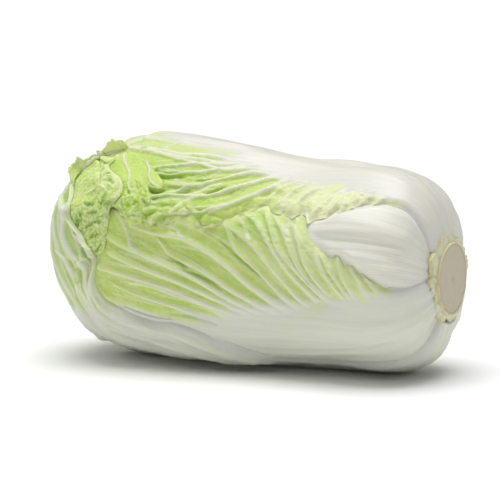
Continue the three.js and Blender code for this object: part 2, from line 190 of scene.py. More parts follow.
# White veins of the top leaf that run together at its folded tip, as (s, phi) with two half widths.
TIP_VEINS = [
    ([(182, 95), (197, 89), (210, 85), (223, 83), (235, 81), (243, 78), (246, 73), (245, 67)], 7, 3),
    ([(150, 82), (165, 76), (180, 73), (190, 70.5), (203, 68), (216, 68), (229, 67), (242, 66)], 1.3, 1.8),
    ([(146, 80), (165, 70), (186, 65.5), (203, 65), (216, 65), (229, 65.5), (240, 65.5)], 1.3, 1.5),
]
TOP_TWIGS = [
    [(112, 46), (113, 43), (113, 36)],
    [(150, 36), (156, 32), (162, 28)],
    [(162, 50), (169, 46), (174, 42), (181, 39)],
    [(170, 40), (176, 36), (182, 32), (186, 26)],
    [(184, 44), (190, 40), (195, 38)],
    [(212, 81), (216, 76), (217, 67)],
]
# Narrow slits, as (s, phi): the blade is sunk along them and painted deep green, as painted shade.
TOP_SLITS = [
    [(213, 34), (206, 36), (200, 36), (196, 39)],
    [(211, 31), (207, 31), (203, 31), (198, 33)],
    [(189, 50), (197, 48), (208, 46)],
    [(191, 54), (199, 51), (210, 50)],
    [(158, 60), (162, 57), (170, 52), (180, 49)],
    [(158, 49), (164, 44), (170, 41)],
    [(181, 42), (186, 39), (194, 36)],
    [(160, 33), (166, 30), (176, 26), (187, 23), (197, 18)],
    [(220, 73), (228, 68), (230, 64)],
]

# How much paler a blade grows towards the root, and how much greener towards the tip.
YOUNG = dict(front_leaf=0.6, top_leaf=1.25)
RIPE = dict(front_leaf=0.62, top_leaf=0.26)

# How far in millimetres the white runs on past the hood's stalk.
HOOD_WHITE = [(0, 60), (200, 60), (245, 52), (285, 40), (320, 16), (380, 9), (472, 8)]

# Rolled pleats and finer ridges of the hood, as (s, side), and the grooves between them with half widths,
# which are sunk and painted deep green as painted shade.
HOOD_PLEATS = [
    [(408, 58), (391, 60), (376, 62), (362, 66), (346, 70), (327, 74), (299, 76), (278, 70), (259, 60),
     (243, 55), (228, 50), (190, 43), (120, 26)],
    [(410, 40), (380, 47), (330, 60), (290, 60), (262, 50), (236, 40), (190, 26)],
    [(446, 22), (380, 31), (320, 44), (280, 42), (225, 20)],
    [(446, 12), (380, 17), (320, 24), (270, 16)],
    [(256, 65), (248, 62), (235, 58), (227, 55), (214, 53), (200, 52), (183, 52), (140, 40)],
]
HOOD_RIDGES = [
    [(292, 72), (272, 64), (252, 56), (232, 51), (205, 49), (170, 46), (130, 37)],
    [(290, 66), (268, 57), (246, 50), (222, 46), (190, 44), (150, 38)],
    [(300, 60), (262, 45), (236, 38), (200, 36), (160, 32)],
    [(262, 72), (252, 67.5), (240, 62.5), (226, 59), (210, 57.5), (190, 57), (168, 53)],
    [(300, 52), (262, 36), (230, 30), (190, 28)],
    [(402, 62), (394, 68), (380, 73), (360, 77), (330, 79), (305, 80), (284, 77), (270, 71)],
    [(398, 52), (372, 57), (345, 66), (320, 69), (300, 68)],
    [(420, 30), (392, 40), (360, 50), (330, 54), (300, 52)],
]
HOOD_GROOVES = [
    ([(382, 73), (367, 77), (344, 81), (315, 81), (289, 77), (273, 72), (266, 67)], 2.2),
    ([(349, 84), (298, 85), (253, 82), (246, 79)], 1.3),
    ([(313, 73), (297, 71), (286, 68)], 1.2),
    ([(411, 50), (400, 53), (387, 55), (368, 58)], 1.8),
    ([(238, 66), (227, 60), (219, 57), (209, 55), (200, 56), (188, 57), (170, 57)], 1.1),
    ([(242, 50), (226, 47), (205, 47), (191, 47), (165, 46)], 1.3),
]

MARKS = dict(front_leaf=(FRONT_TWIGS, FRONT_SLITS), top_leaf=(TOP_TWIGS, TOP_SLITS))

# The folded tip, as (s, phi): its veins run out from the pivot, and its lower lobe is crumpled.
FOLD_VEINS = [
    [(243, 63), (244, 58), (245, 54), (246, 50)],
    [(242, 64), (236, 55), (230, 49), (225, 44), (223, 40)],
    [(238, 65), (226, 59), (218, 54), (212, 48), (210, 44)],
]
FOLD_RIDGES = [
    [(210, 44), (206, 40), (200, 38)],
    [(214, 31), (218, 30), (222, 28)],
    [(211, 25), (213, 22), (210, 22), (206, 22)],
    [(212, 20), (205, 20)],
    [(222, 38), (220, 35), (215, 34)],
    [(223, 28), (222, 24), (216, 20)],
]
# Creases of the crumpled lobe: sunk, and painted deep green as painted shade.
FOLD_CREASES = [
    [(218, 33), (220, 32)],
    [(210, 28), (212, 26)],
    [(217, 25), (214, 26)],
]

# The curled tip's light ridges and its creases, as (s, phi); the creases are sunk and painted deep green, as
# painted shade.
CURL_RIDGES = [
    [(250, 50), (254, 48), (257, 46), (260, 44), (262, 40), (262, 36), (263, 34)],
    [(251, 47), (252, 43), (254, 39), (256, 35), (259, 30)],
    [(242, 44), (242, 40), (244, 37), (248, 34), (252, 32)],
    [(244, 36), (238, 34), (234, 31)],
    [(243, 47), (238, 44), (232, 41), (227, 37), (226, 34), (226, 30), (229, 28)],
    [(241, 42), (236, 42), (232, 40)],
    [(235, 36), (230, 34), (229, 36)],
    [(262, 20), (258, 22), (254, 24), (247, 24), (244, 24)],
    [(250, 20), (249, 22), (243, 24), (240, 23), (238, 21), (243, 20), (247, 19)],
    [(262, 16), (260, 19), (256, 22), (252, 23)],
    [(250, 19), (248, 18), (243, 18), (238, 20), (235, 22)],
    [(236, 25), (234, 23), (234, 20), (234, 16)],
    [(256, 14), (252, 15), (248, 17)],
    [(244, 16), (238, 15), (235, 18)],
    [(250, 10), (244, 12), (240, 14), (236, 14)],
    [(244, 6), (240, 4), (238, 7), (237, 10)],
]
CURL_CREASES = [
    ([(233, 20), (232, 23), (231, 25), (228, 27), (225, 28)], 1.6),
    ([(233, 24), (234, 25), (235, 27), (235, 29), (235, 31), (235, 33)], 1.4),
    ([(234, 26), (238, 26), (242, 28)], 0.9),
    ([(258, 13), (257, 17), (258, 20)], 1.4),
    ([(254, 16), (254, 19), (254, 22)], 0.9),
    ([(250, 14), (246, 16), (243, 17), (240, 19), (237, 20)], 1.2),
    ([(248, 21), (245, 22), (241, 22)], 0.9),
    ([(252, 26), (249, 25), (244, 26)], 1.6),
    ([(242, 18), (239, 17), (236, 17)], 0.9),
    ([(264, 60), (250, 52), (245, 53), (242, 58)], 1.0),
    ([(250, 50), (248, 48), (246, 44)], 1.0),
    ([(241, 38), (238, 39), (233, 37)], 1.5),
    ([(243, 42), (240, 44)], 0.9),
    ([(245, 8), (242, 10), (238, 11)], 1.0),
    ([(240, 2), (238, 4), (236, 6)], 0.9),
]

# The hood's margin stands up in two torn frills beyond the curled tip: its line, as (s, phi), and their
# heights along it.
HOOD_FRILL = [(272, 39), (273.5, 43.5), (274.5, 48), (274, 52), (270, 56), (265, 58), (259, 60),
              (254, 61.5), (248, 63), (243, 64.5), (238, 66)]
HOOD_FRILL_HEIGHTS = [(0, 0), (0.07, 3), (0.14, 6.5), (0.37, 7.5), (0.44, 4.5), (0.53, 3), (0.66, 3),
                      (0.74, 6.5), (0.83, 8), (0.92, 5.5), (1, 0)]

# Broad ridges and grooves along the stalks, as (s, phi), each with a half width and a height.
STALK_LINES = dict(
    inner_front_leaf=[
        ([(14, 29), (40, 29), (64, 30), (96, 31)], 20, 4.5),
        ([(20, 48), (45, 46), (67, 44), (110, 38)], 8, 2.2),
        ([(24, 12), (44, 13), (64, 14), (110, 18)], 4.5, 3.0),
        ([(20, 24), (44, 23), (64, 23), (110, 24)], 3.6, -2.4),
        ([(20, 2), (50, 6), (90, 10)], 5, 0.7),
    ],
    front_leaf=[
        ([(30, -40), (46, -41), (103, -47), (167, -47), (204, -46), (232, -45)], 2.6, -0.8),
        ([(30, -26), (80, -30), (130, -36), (180, -40)], 5, 0.8),
        ([(40, -56), (100, -58), (160, -58)], 4, 0.6),
    ],
    top_leaf=[
        ([(30, 80), (58, 84), (110, 90), (160, 96)], 2.8, -0.9),
        ([(30, 70), (80, 78), (140, 84), (190, 88)], 5, 0.9),
        ([(30, 100), (90, 103), (180, 100)], 4, 0.7),
    ],
)

# The hood's rolled front margin: where it starts, where it gets slimmer, how far in from the edge its top
# lies, its half width and its height.
ROLL = dict(start=246, slim=400, inset=2.4, half=2.0, tall=3.2)

# The stem's side, as (x, radius), and the radii of the cut face's rings.
STEM_SIDE = [(114, 18), (131, 22.4), (136, 23.4), (138.6, 23.8), (140.4, 23.9), (141.6, 23.8), (142.3, 23.6),
             (142.6, 23.1)]
FACE_RINGS = (22, 21, 19, 17, 14, 11, 8, 5, 2.5, 1)

# Torn teeth on a margin, as (s, height, half width along the margin).
TEETH = {
    ("front_leaf", 1): [(68, 8, 4), (58, 3, 4), (34, 6, 5), (51, 2.5, 4), (88, 2, 4)],
    ("top_leaf", -1): [(72, 10, 5), (93, 6, 4), (104, 4, 5), (82, 2, 3), (56, 2.5, 4), (46, 3, 4),
                       (31, 3, 4)],
}


# Shape helpers.
def ease(t):
    t = np.clip(t, 0, 1)
    return t * t * (3 - 2 * t)


def curve(knots, x):
    """A smooth curve through (x, y) pairs, level at and beyond both ends."""
    xs, ys = np.array(knots, float).T
    slopes = np.zeros_like(ys)
    slopes[1:-1] = (ys[2:] - ys[:-2]) / (xs[2:] - xs[:-2])
    at = np.clip(x, xs[0], xs[-1])
    i = np.clip(np.searchsorted(xs, at) - 1, 0, len(xs) - 2)
    h = xs[i + 1] - xs[i]
    t = (at - xs[i]) / h
    rise = h * (slopes[i] * (t**3 - 2 * t * t + t) + slopes[i + 1] * (t**3 - t * t))
    return ys[i] * (2 * t**3 - 3 * t * t + 1) + ys[i + 1] * (3 * t * t - 2 * t**3) + rise


def lattice(i, j, seed):
    """A fixed random number from -1 to 1 at each whole pair."""
    n = (i.astype(np.int64) * 374761393 + j.astype(np.int64) * 668265263 + seed * 97531) & 0xFFFFFFFF
    n = ((n ^ (n >> 13)) * 1274126177) & 0xFFFFFFFF
    return ((n ^ (n >> 16)) & 0xFFFF) / 32767.5 - 1


def noise(x, y, seed):
    """Smooth noise from -1 to 1 with features about one unit wide."""
    x, y = np.broadcast_arrays(np.asarray(x, float), np.asarray(y, float))
    i, j = np.floor(x), np.floor(y)
    fx, fy = ease(x - i), ease(y - j)
    low = lattice(i, j, seed) * (1 - fx) + lattice(i + 1, j, seed) * fx
    high = lattice(i, j + 1, seed) * (1 - fx) + lattice(i + 1, j + 1, seed) * fx
    return low * (1 - fy) + high * fy


def waves(x, row, *terms):
    """Noise of several lengths along a line, each term as (height, length, seed)."""
    return sum(tall * noise(x / length, row, seed) for tall, length, seed in terms)


def domes(x, y, seed):
    """Rounded cells one unit wide: 0 on the lines between cells and 1 inside them."""
    i, j = np.floor(x), np.floor(y)
    first = np.full(x.shape, 9.0)
    second = first.copy()
    for di in (-1, 0, 1):
        for dj in (-1, 0, 1):
            a, b = i + di, j + dj
            across = a + 0.5 + 0.4 * lattice(a, b, seed) - x
            along = b + 0.5 + 0.4 * lattice(a, b, seed + 1) - y
            gap = np.hypot(across, along)
            second = np.where(gap < first, first, np.minimum(second, gap))
            first = np.minimum(first, gap)
    return ease((second - first) / 0.5)


def unit_grid(rows, columns, first=-1):
    """u runs from 0 to 1 over the rows, and v from first to 1 over the columns."""
    u = np.linspace(0, 1, rows + 1)[:, None] * np.ones(columns + 1)
    v = np.linspace(first, 1, columns + 1) * np.ones(rows + 1)[:, None]
    return u, v


def smooth_path(points, step):
    """Points about a step apart on a smooth line through the given ones."""
    p = np.array(points, float)
    if len(p) == 2:
        p = np.array([p[0], p.mean(0), p[1]])
    ends = np.vstack([2 * p[0] - p[1], p, 2 * p[-1] - p[-2]])
    path = []
    for k in range(len(p) - 1):
        a, b, c, d = ends[k:k + 4]
        count = max(2, int(np.linalg.norm(c - b) / step))
        t = (np.arange(count) / count)[:, None]
        path.append(0.5 * (2 * b + (c - a) * t + (2 * a - 5 * b + 4 * c - d) * t**2
                           + (3 * b - a - 3 * c + d) * t**3))
    return np.vstack([*path, p[-1:]])


# The head's body.
ALONG = np.array([1.0, 0, 0])


def around(angle):
    turn = np.radians(angle)
    return np.stack([np.zeros_like(turn), -np.cos(turn), np.sin(turn)], -1)


def superellipse(angle, cap):
    across = np.abs(np.cos(angle)) / cap["radius"]
    along = np.abs(np.sin(angle)) / cap["reach"]
    return (across ** cap["power"] + along ** cap["power"]) ** (-1 / cap["power"])


def hood_direction(phi, s, side):
    """The direction out of the tip cap, where a leaf lies over the end of the head like a hood."""
    over = ((s - BARREL_END) / TIP_ARC)[..., None]
    turn = np.radians(side)[..., None]
    arch = np.cos(over) * around(phi) - np.sin(over) * ALONG
    return np.cos(turn) * arch + np.sin(turn) * around(phi + 90)


def place(phi, s, side, height):
    """Points at a height over the body."""
    given = [np.asarray(value, float) for value in (phi, s, side, height)]
    phi, s, side, height = np.broadcast_arrays(*given)
    to_root = np.clip(1 - s / SHOULDER, 0, None)
    lean = np.radians(ROOT_ANGLE) * to_root
    out = np.cos(lean)[..., None] * around(phi + side) + np.sin(lean)[..., None] * ALONG
    x = np.minimum(BASE["x"] - (s - SHOULDER), BASE["x"])
    at_root = s < SHOULDER
    radius = np.where(at_root, superellipse(lean, BASE), curve(BARREL_RADII, x))
    z = np.where(at_root, BASE["z"] - BASE["drop"] * to_root**2, curve(BARREL_CENTRES, x))
    centre = np.stack([x, np.zeros_like(x), z], -1)
    hood = hood_direction(phi, s, side)
    hood_lean = np.arcsin(np.clip(-hood[..., 0], -1, 1))
    hood_z = TIP["z"] + TIP["rise"] * (hood_lean / (math.pi / 2)) ** 2
    hood_centre = np.stack([np.full_like(x, TIP["x"]), np.zeros_like(x), hood_z], -1)
    past = s > BARREL_END
    out = np.where(past[..., None], hood, out)
    radius = np.where(past, superellipse(hood_lean, TIP), radius)
    centre = np.where(past[..., None], hood_centre, centre)
    return centre + (radius + height)[..., None] * out


def midrib_angle(leaf, s):
    return leaf["phi"] + leaf["twist"] * ease(s / BARREL_END)


def wrapped(angle):
    return (angle + 180) % 360 - 180


def on_leaf(leaf, phi, s, side):
    """Where spots lie on a leaf: length along its midrib, side angle."""
    out = hood_direction(phi, s, side)
    middle = midrib_angle(leaf, np.array(float(BARREL_END)))
    over = np.arctan2(-out[..., 0], out @ around(middle))
    across = np.degrees(np.arcsin(np.clip(out @ around(middle + 90), -1, 1)))
    past = s > BARREL_END
    return (np.where(past, BARREL_END + over * TIP_ARC, s),
            np.where(past, across, wrapped(phi + side - midrib_angle(leaf, s))))


def on_head(phi, s, side):
    """Where spots lie on the head: length along it, angle round it."""
    out = hood_direction(phi, s, side)
    past = s > BARREL_END
    along = BARREL_END + np.arcsin(np.clip(-out[..., 0], -1, 1)) * TIP_ARC
    return np.where(past, along, s), np.where(past, np.degrees(np.arctan2(out[..., 2], -out[..., 1])),
                                              wrapped(phi + side))


# The layers that lie on the body. Each gives how far past its outline a spot is, and how high it stands.
def half_width(leaf, s, side):
    return np.where(side < 0, curve(leaf["low"], s), curve(leaf["high"], s))


def row_room(half):
    """How much of its width a row keeps over the head's end, where rows draw together at the hood's sides."""
    return np.cos(np.radians(np.minimum(half, 80)))


def cover_past(distance):
    return ease(1 - (distance - EDGE_MARGIN) / EDGE_RAMP)


def leaf_end(leaf, side):
    """A leaf's length, less where its tip is cut at a slant towards its low side."""
    return leaf["length"] - leaf.get("slant", 0) * ease((26 - side) / 26)


def past_leaf(leaf, phi, s, side):
    s, side = on_leaf(leaf, phi, s, side)
    past_side = (np.abs(side) - half_width(leaf, s, side) - LOBES["room"]) * MM_PER_DEGREE
    return np.maximum(past_side, s - leaf_end(leaf, side))


def leaf_thickness(leaf, s, side):
    t = np.clip(np.abs(side) / curve(leaf["rib"], s), 0, 1)
    return BLADE + curve(RIB_THICKNESS, s) * (1 - t * t) ** 1.5


def leaf_height(leaf, phi, s, side):
    return leaf_thickness(leaf, *on_leaf(leaf, phi, s, side)) + LAYER_GAP + leaf["loose"]


def past_fold(phi, s, side):
    s, phi = on_head(phi, s, side)
    back = FOLD["s"] - s
    down = (FOLD["phi"] - phi) * MM_PER_DEGREE
    radius = np.hypot(back, down)
    angle = np.degrees(np.arctan2(down, back))
    past_side = radius * np.radians(np.maximum(FOLD["start"] - angle, angle - FOLD["end"]))
    return np.maximum(radius - curve(FOLD["reach"], angle), past_side)


def past_curl(phi, s, side):
    s, phi = on_head(phi, s, side)
    first, last = CURL["edge"][0][0], CURL["edge"][-1][0]
    past_side = np.maximum(first - phi, phi - last) * MM_PER_DEGREE
    return np.maximum(curve(CURL["edge"], phi) - s, past_side)


def curl_freedom(s, phi):
    """The crumple of the curled tip flattens where the next leaf lies over it."""
    return 1 - ease((s - curve(CURL["edge"], phi) - CURL["covered"]) / 14)


def curl_dive(s, phi):
    """Behind the hood the curled tip's leaf goes down into the heart, sooner at the top."""
    return ease((s - curve(CURL["dive"], phi)) / 26)


def curl_height(phi, s, side):
    s, phi = on_head(phi, s, side)
    thick = CURL["pressed"] + (CURL["thickness"] - CURL["pressed"]) * curl_freedom(s, phi)
    return (thick + LAYER_GAP) * (1 - curl_dive(s, phi))


def leaf_layer(name):
    leaf = LEAVES[name]
    return (lambda *spot: past_leaf(leaf, *spot)), (lambda *spot: leaf_height(leaf, *spot))


LAYERS = {name: leaf_layer(name) for name in list(LEAVES)[:-1]}
LAYERS["fold"] = (past_fold, lambda *spot: FOLD["thickness"])
LAYERS["curl"] = (past_curl, curl_height)
LAYERS["under_leaf"] = leaf_layer("under_leaf")
ORDER = list(LAYERS)


def underside(name, *spot):
    """The height over the body of what lies under a layer."""
    height = LAYER_GAP
    for lower in ORDER[:ORDER.index(name)]:
        past, tall = LAYERS[lower]
        height = height + cover_past(past(*spot)) * tall(*spot)
    return height


def resting(name, *spot):
    """The height of the real surface under a spot, for a margin to lie down on."""
    surface = LAYER_GAP
    for lower in ORDER[:ORDER.index(name)]:
        past, tall = LAYERS[lower]
        top = underside(lower, *spot) + tall(*spot) - LAYER_GAP
        if lower in ("fold", "curl"):
            top = top - edge_drop(lower, *spot)
        surface = surface + np.maximum(top - surface, 0) * ease((3 - past(*spot)) / 6)
    return surface


def edge_drop(name, *spot):
    """How far the fold or the curled tip comes down beside its edge."""
    drop = np.clip(underside(name, *spot) - resting(name, *spot), 0, MOST_DROP)
    inward = -LAYERS[name][0](*spot)
    return drop * (1 - 0.9 * ease((inward - 2) / 24))


def freedom(name, *spot):
    """1 where no layer further out lies over a spot, and 0 under one."""
    share = 1.0
    for upper in ORDER[ORDER.index(name) + 1:]:
        share = share * ease((LAYERS[upper][0](*spot) + 3) / 7)
    return share


def snugness(name, s, side):
    """How tightly a leaf lies on what is under it.

    The top leaf lies tightly where it bends over the barrel's end, and the hood does beside its front margin
    and near its tip.
    """
    if name == "top_leaf":
        return 0.9 * np.exp(-(((s - 195) / 36) ** 2))
    if name == "under_leaf":
        at_tip = ease((s - 370) / 30) * ease((side + 20) / 20)
        return np.maximum(ease((side - 15) / 35), at_tip) * ease((s - 245) / 20)
    return 0 * s


# Veins are lines in a leaf's own plane: s along it, and the distance from its midrib across it.
def plane(s, side):
    return np.stack([s, side * MM_PER_DEGREE], -1)


def head_line(points, step=1.2):
    return smooth_path(plane(*np.array(points, float).T), step)


def hand_line(leaf, points, step=2.5):
    s, phi = np.array(points, float).T
    return smooth_path(plane(*on_leaf(leaf, phi, s, np.zeros_like(s))), step)


def vein(path, wide, tall, white=1.0):
    """A vein is a path with its half width and height at its two ends."""
    t = np.linspace(0, 1, len(path))
    return dict(path=path, wide=wide[1] + (wide[0] - wide[1]) * (1 - t) ** 1.8,
                tall=tall[0] + (tall[1] - tall[0]) * t, white=white * (1 - 0.3 * t**2))


def side_vein(path):
    """Long side veins are thick where they leave the midrib, and those near the root are thin all along."""
    length = np.linalg.norm(np.diff(path, axis=0), axis=1).sum()
    size = np.clip(length / 95, 0.5, 1) * (0.45 + 0.55 * ease((path[0, 0] - 62) / 60))
    return vein(path, (3.1 * size, 0.55), (1.9 * size, 0.6))


def ruled_lines(leaf, sign, count, rng):
    """Side veins where nothing shows them. They run forward, steeply at the root and less so at the tip."""
    lines = []
    t = np.linspace(0, 1, 9)
    for k in range(count):
        share = (k + rng.uniform(-0.3, 0.3)) / (count - 1)
        bend = rng.uniform(0.7, 1.3) * np.sin(math.pi * t * rng.uniform(1, 2))
        s = leaf["length"] * (0.1 + 0.76 * share + (0.08 + 0.14 * share) * t) + 2 * bend
        s = np.minimum(s, leaf["length"] - 4)
        start = 0.72 * curve(leaf["rib"], s[0])
        side = start + (0.96 * half_width(leaf, s, sign) - start) * t ** (0.85 - 0.2 * share)
        lines.append(plane(s, sign * side))
    return [smooth_path(line, 3) for line in lines]


def resampled(path, count):
    at = np.linspace(0, len(path) - 1, count)
    k = np.arange(len(path))
    return np.stack([np.interp(at, k, path[:, 0]), np.interp(at, k, path[:, 1])], -1)


def branches(lines, rng):
    """Thin veins that leave one side vein and run on towards the next one."""
    made = []
    for first, second in zip(lines[:-1], lines[1:]):
        a, b = resampled(first, 24), resampled(second, 24)
        gap = np.linalg.norm(a[12] - b[12])
        if gap > 32:
            continue
        for own, other in ((a, b), (b, a)):
            for start in rng.permutation([3, 7, 11, 14, 17])[:3 if gap > 9 else 2]:
                end = min(23, start + rng.integers(5, 12))
                t = np.linspace(0, 1, end - start + 1)[:, None]
                lean = rng.uniform(0.3, 0.55) * t**0.85
                path = own[start:end + 1] * (1 - lean) + other[start:end + 1] * lean
                size = rng.uniform(0.55, 0.9)
                made.append(vein(smooth_path(path, 2.5), (0.9 * size, 0.45), (0.5 * size, 0.15), 0.62 * size))
    return made


def line_gaps(at, path, reach):
    """Which points lie near a path, how far from it, how far along it, and whether on its right."""
    at = at.reshape(-1, 2)
    low, high = path.min(0) - reach, path.max(0) + reach
    near = np.flatnonzero(((at > low) & (at < high)).all(1))
    start, step = path[:-1], np.diff(path, axis=0)
    rel = at[near, None] - start[None]
    t = np.clip((rel * step).sum(2) / np.maximum((step**2).sum(1), 1e-9), 0, 1)
    gap = np.linalg.norm(rel - t[..., None] * step, axis=2)
    best = gap.argmin(1)
    rows = np.arange(len(near))
    away = rel[rows, best]
    right = step[best, 0] * away[:, 1] < step[best, 1] * away[:, 0]
    return near, gap[rows, best], best + t[rows, best], right


def vein_relief(at, veins):
    """The height of veins at points of a leaf's plane, their whiteness, and the pale wash beside them."""
    rise, white, pale = np.zeros((3, at[..., 0].size))
    for line in veins:
        near, gap, along, _ = line_gaps(at, line["path"], 3 * line["wide"].max() + 1)
        k = np.arange(len(line["path"]))
        wide, tall, share = [np.interp(along, k, line[part]) for part in ("wide", "tall", "white")]
        rise[near] = np.maximum(rise[near], tall * np.exp(-((gap / wide) ** 2)))
        white[near] = np.maximum(white[near], share * np.exp(-((gap / (0.85 * wide)) ** 2.6)))
        pale[near] = np.maximum(pale[near], share * np.exp(-((gap / (1.9 * wide)) ** 2)))
    return [field.reshape(at.shape[:-1]) for field in (rise, white, pale)]


def nearest_vein(at, veins, reach=16):
    """How far points are from the nearest vein's flank, and whether they lie on its right, in its shade."""
    gap_to, shaded = np.full(at.shape[:-1], float(reach)).ravel(), np.zeros(at.shape[:-1]).ravel()
    for line in veins:
        near, gap, along, right = line_gaps(at, line["path"], reach)
        wide = np.interp(along, np.arange(len(line["path"])), line["wide"])
        flank = np.clip(gap - wide, 0, None)
        nearer = flank < gap_to[near]
        shaded[near] = np.where(nearer, right, shaded[near])
        gap_to[near] = np.minimum(gap_to[near], flank)
    return gap_to.reshape(at.shape[:-1]), shaded.reshape(at.shape[:-1])


def groove_relief(at, grooves):
    """How deep points lie in narrow grooves, 0 to 1."""
    deep = np.zeros(at[..., 0].size)
    for path, wide in grooves:
        near, gap, along, _ = line_gaps(at, path, 4 * wide)
        t = along / (len(path) - 1)
        taper = np.sin(math.pi * np.clip(0.06 + 0.88 * t, 0, 1)) ** 0.6
        deep[near] = np.maximum(deep[near], taper * np.exp(-((gap / (wide * (0.45 + 0.55 * taper))) ** 2)))
    return deep.reshape(at.shape[:-1])


# Sheets. The inner face of a sheet has one column for each three of the outer face.
COARSE = 3


def sheet_faces(rows, columns):
    """A fine outer face, and an inner face with fewer columns, closed round all four edges."""
    wide, slim = columns + 1, columns // COARSE + 1
    inner = (rows + 1) * wide
    i, j = np.meshgrid(np.arange(rows), np.arange(columns), indexing="ij")
    a = (i * wide + j).ravel()
    faces = np.stack([a, a + 1, a + wide + 1, a + wide], 1).tolist()
    i, j = np.meshgrid(np.arange(rows), np.arange(slim - 1), indexing="ij")
    b = (inner + i * slim + j).ravel()
    faces += np.stack([b, b + slim, b + slim + 1, b + 1], 1).tolist()
    for row in range(rows):
        a, b = row * wide, inner + row * slim
        faces.append([a, a + wide, b + slim, b])
        a, b = a + columns, b + slim - 1
        faces.append([a, b, b + slim, a + wide])
    for cell in range(slim - 1):
        a, b = cell * COARSE, inner + cell
        faces.append([b, b + 1, *range(a + COARSE, a - 1, -1)])
        a, b = rows * wide + a, inner + rows * slim + cell
        faces.append([b + 1, b, *range(a, a + COARSE + 1)])
    return faces


def mesh_piece(name, points, faces, fields, material):
    """A smooth mesh in metres, in the frame's place, with a field of numbers for each name in fields."""
    mesh = bpy.data.meshes.new(name)
    mesh.from_pydata(((points + SHIFT) * MM).tolist(), [], faces)
    for field, values in fields.items():
        kind, part = ("FLOAT", "value") if values.ndim == 1 else ("FLOAT_VECTOR", "vector")
        layer = mesh.attributes.new(field, kind, "POINT")
        layer.data.foreach_set(part, values.astype(np.float32).ravel())
    mesh.polygons.foreach_set("use_smooth", np.ones(len(faces), bool))
    mesh.materials.append(material)
    mesh.validate()
    mesh.update()
    piece = bpy.data.objects.new(name, mesh)
    bpy.context.scene.collection.objects.link(piece)
    return piece


def sheet_piece(name, outer, inner, fields, material):
    """A closed sheet, from grids of one size for its outer face, its inner face and its fields."""
    rows, columns = outer.shape[0] - 1, outer.shape[1] - 1
    points = np.concatenate([outer.reshape(-1, 3), inner[:, ::COARSE].reshape(-1, 3)])
    both = {}
    for field, grid in fields.items():
        shape = (-1, 3) if grid.ndim == 3 else (-1,)
        both[field] = np.concatenate([grid.reshape(shape), grid[:, ::COARSE].reshape(shape)])
    return mesh_piece(name, points, sheet_faces(rows, columns), both, material)


def skin_fields(x, y, **masks):
    """A leaf's own plane, and the masks that its material reads."""
    return dict(leaf_plane=np.stack([x, y, np.zeros_like(x)], -1), **masks)


def on_floor(points):
    """The head rests on the flat that its own weight presses into the lowest leaf."""
    points[..., 2] = np.maximum(points[..., 2], 0)
    return points


def frill(leaf, s, v):
    """How ragged and waved a margin is: smooth beside the stalk's root, and 1 along the blade."""
    return np.where(v > 0, curve(leaf.get("frill", FRILL), s), curve(FRILL, s))


def margin_teeth(name, s, sign):
    """How far torn teeth and small lobes run out past the smooth margin."""
    seed = ORDER.index(name) * 7 + (sign > 0)
    extra = waves(s, 0.5, (1.3, 8.0, seed), (0.9, 3.4, seed + 3), (0.5, 1.7, seed + 5))
    for at, tall, wide in TEETH.get((name, sign), []):
        extra = extra + tall * np.clip(1 - np.abs(s - at) / wide, 0, 1) ** 1.3
    return extra / MM_PER_DEGREE


def leaf_lines(name):
    """The side veins on the two sides of a leaf, each side from root to tip."""
    leaf = LEAVES[name]
    rng = np.random.default_rng(ORDER.index(name) + 11)
    low = ruled_lines(leaf, -1, round(leaf["length"] / 17), rng)
    high = ruled_lines(leaf, 1, round(leaf["length"] / 17), rng)
    if name == "front_leaf":
        high = [hand_line(leaf, points) for points in FRONT_VEINS]
    if name == "top_leaf":
        low = [hand_line(leaf, points) for points in TOP_VEINS]
    if name == "under_leaf":
        high = [smooth_path(plane(*np.array(points, float).T), 3) for points in HOOD_PLEATS]
    return low, high, rng


def rolled_margin(leaf, s, side):
    """The hood's front margin is rolled over into a thick ridge."""
    half = half_width(leaf, s, side)
    slope = (half_width(leaf, s + 1, side) - half_width(leaf, s - 1, side)) / 2 * MM_PER_DEGREE
    slope = slope / row_room(half)
    inward = (half - np.abs(side)) * MM_PER_DEGREE / np.sqrt(1 + slope**2)
    along = ease((s - ROLL["start"]) / 20) * ease((leaf["length"] + 4 - s) / 10) * (side > 0)
    slim = ease((s - ROLL["slim"]) / 20)
    return np.exp(-(((inward - ROLL["inset"] + 0.8 * slim) / (ROLL["half"] - 0.7 * slim)) ** 2)) * along


def stalk_ridges(name, at):
    """Broad ridges and grooves along a stalk."""
    rise = np.zeros(at[..., 0].size)
    for points, wide, tall in STALK_LINES.get(name, []):
        path = hand_line(LEAVES[name], points)
        near, gap, along, _ = line_gaps(at, path, 3 * wide)
        ends = ease(along / 6) * ease((len(path) - 1 - along) / 10)
        rise[near] += tall * ends * np.exp(-((gap / wide) ** 2))
    return rise.reshape(at.shape[:-1])


def leaf_grid(name):
    """A leaf's rows and columns as (s, side), with its lobes and teeth, and how much room a ruffle has."""
    leaf = LEAVES[name]
    length = leaf["length"]
    u, v = unit_grid(*leaf["grid"])
    edge = np.abs(v)
    s = np.minimum(length, length * u + leaf["sweep"] * curve(SWEEP, u) * edge**1.15)
    s = s * (1 - (1 - leaf_end(leaf, 28 * v) / length) * u**3)
    half = half_width(leaf, s, v)
    room = np.where(s > BARREL_END, row_room(half), 1)
    ends = ease((s - 30) / 30) * ease((length - s) / 20) * room
    lobes = LOBES["height"] * np.cos(math.pi * LOBES["count"] * u) * ends * frill(leaf, s, v)
    teeth = np.where(v < 0, margin_teeth(name, s, -1), margin_teeth(name, s, 1)) * room * frill(leaf, s, v)
    side = np.where(v < 0, -1, 1) * edge**1.08 * (half + (lobes + teeth) * edge**4)
    return u, v, s, side, room


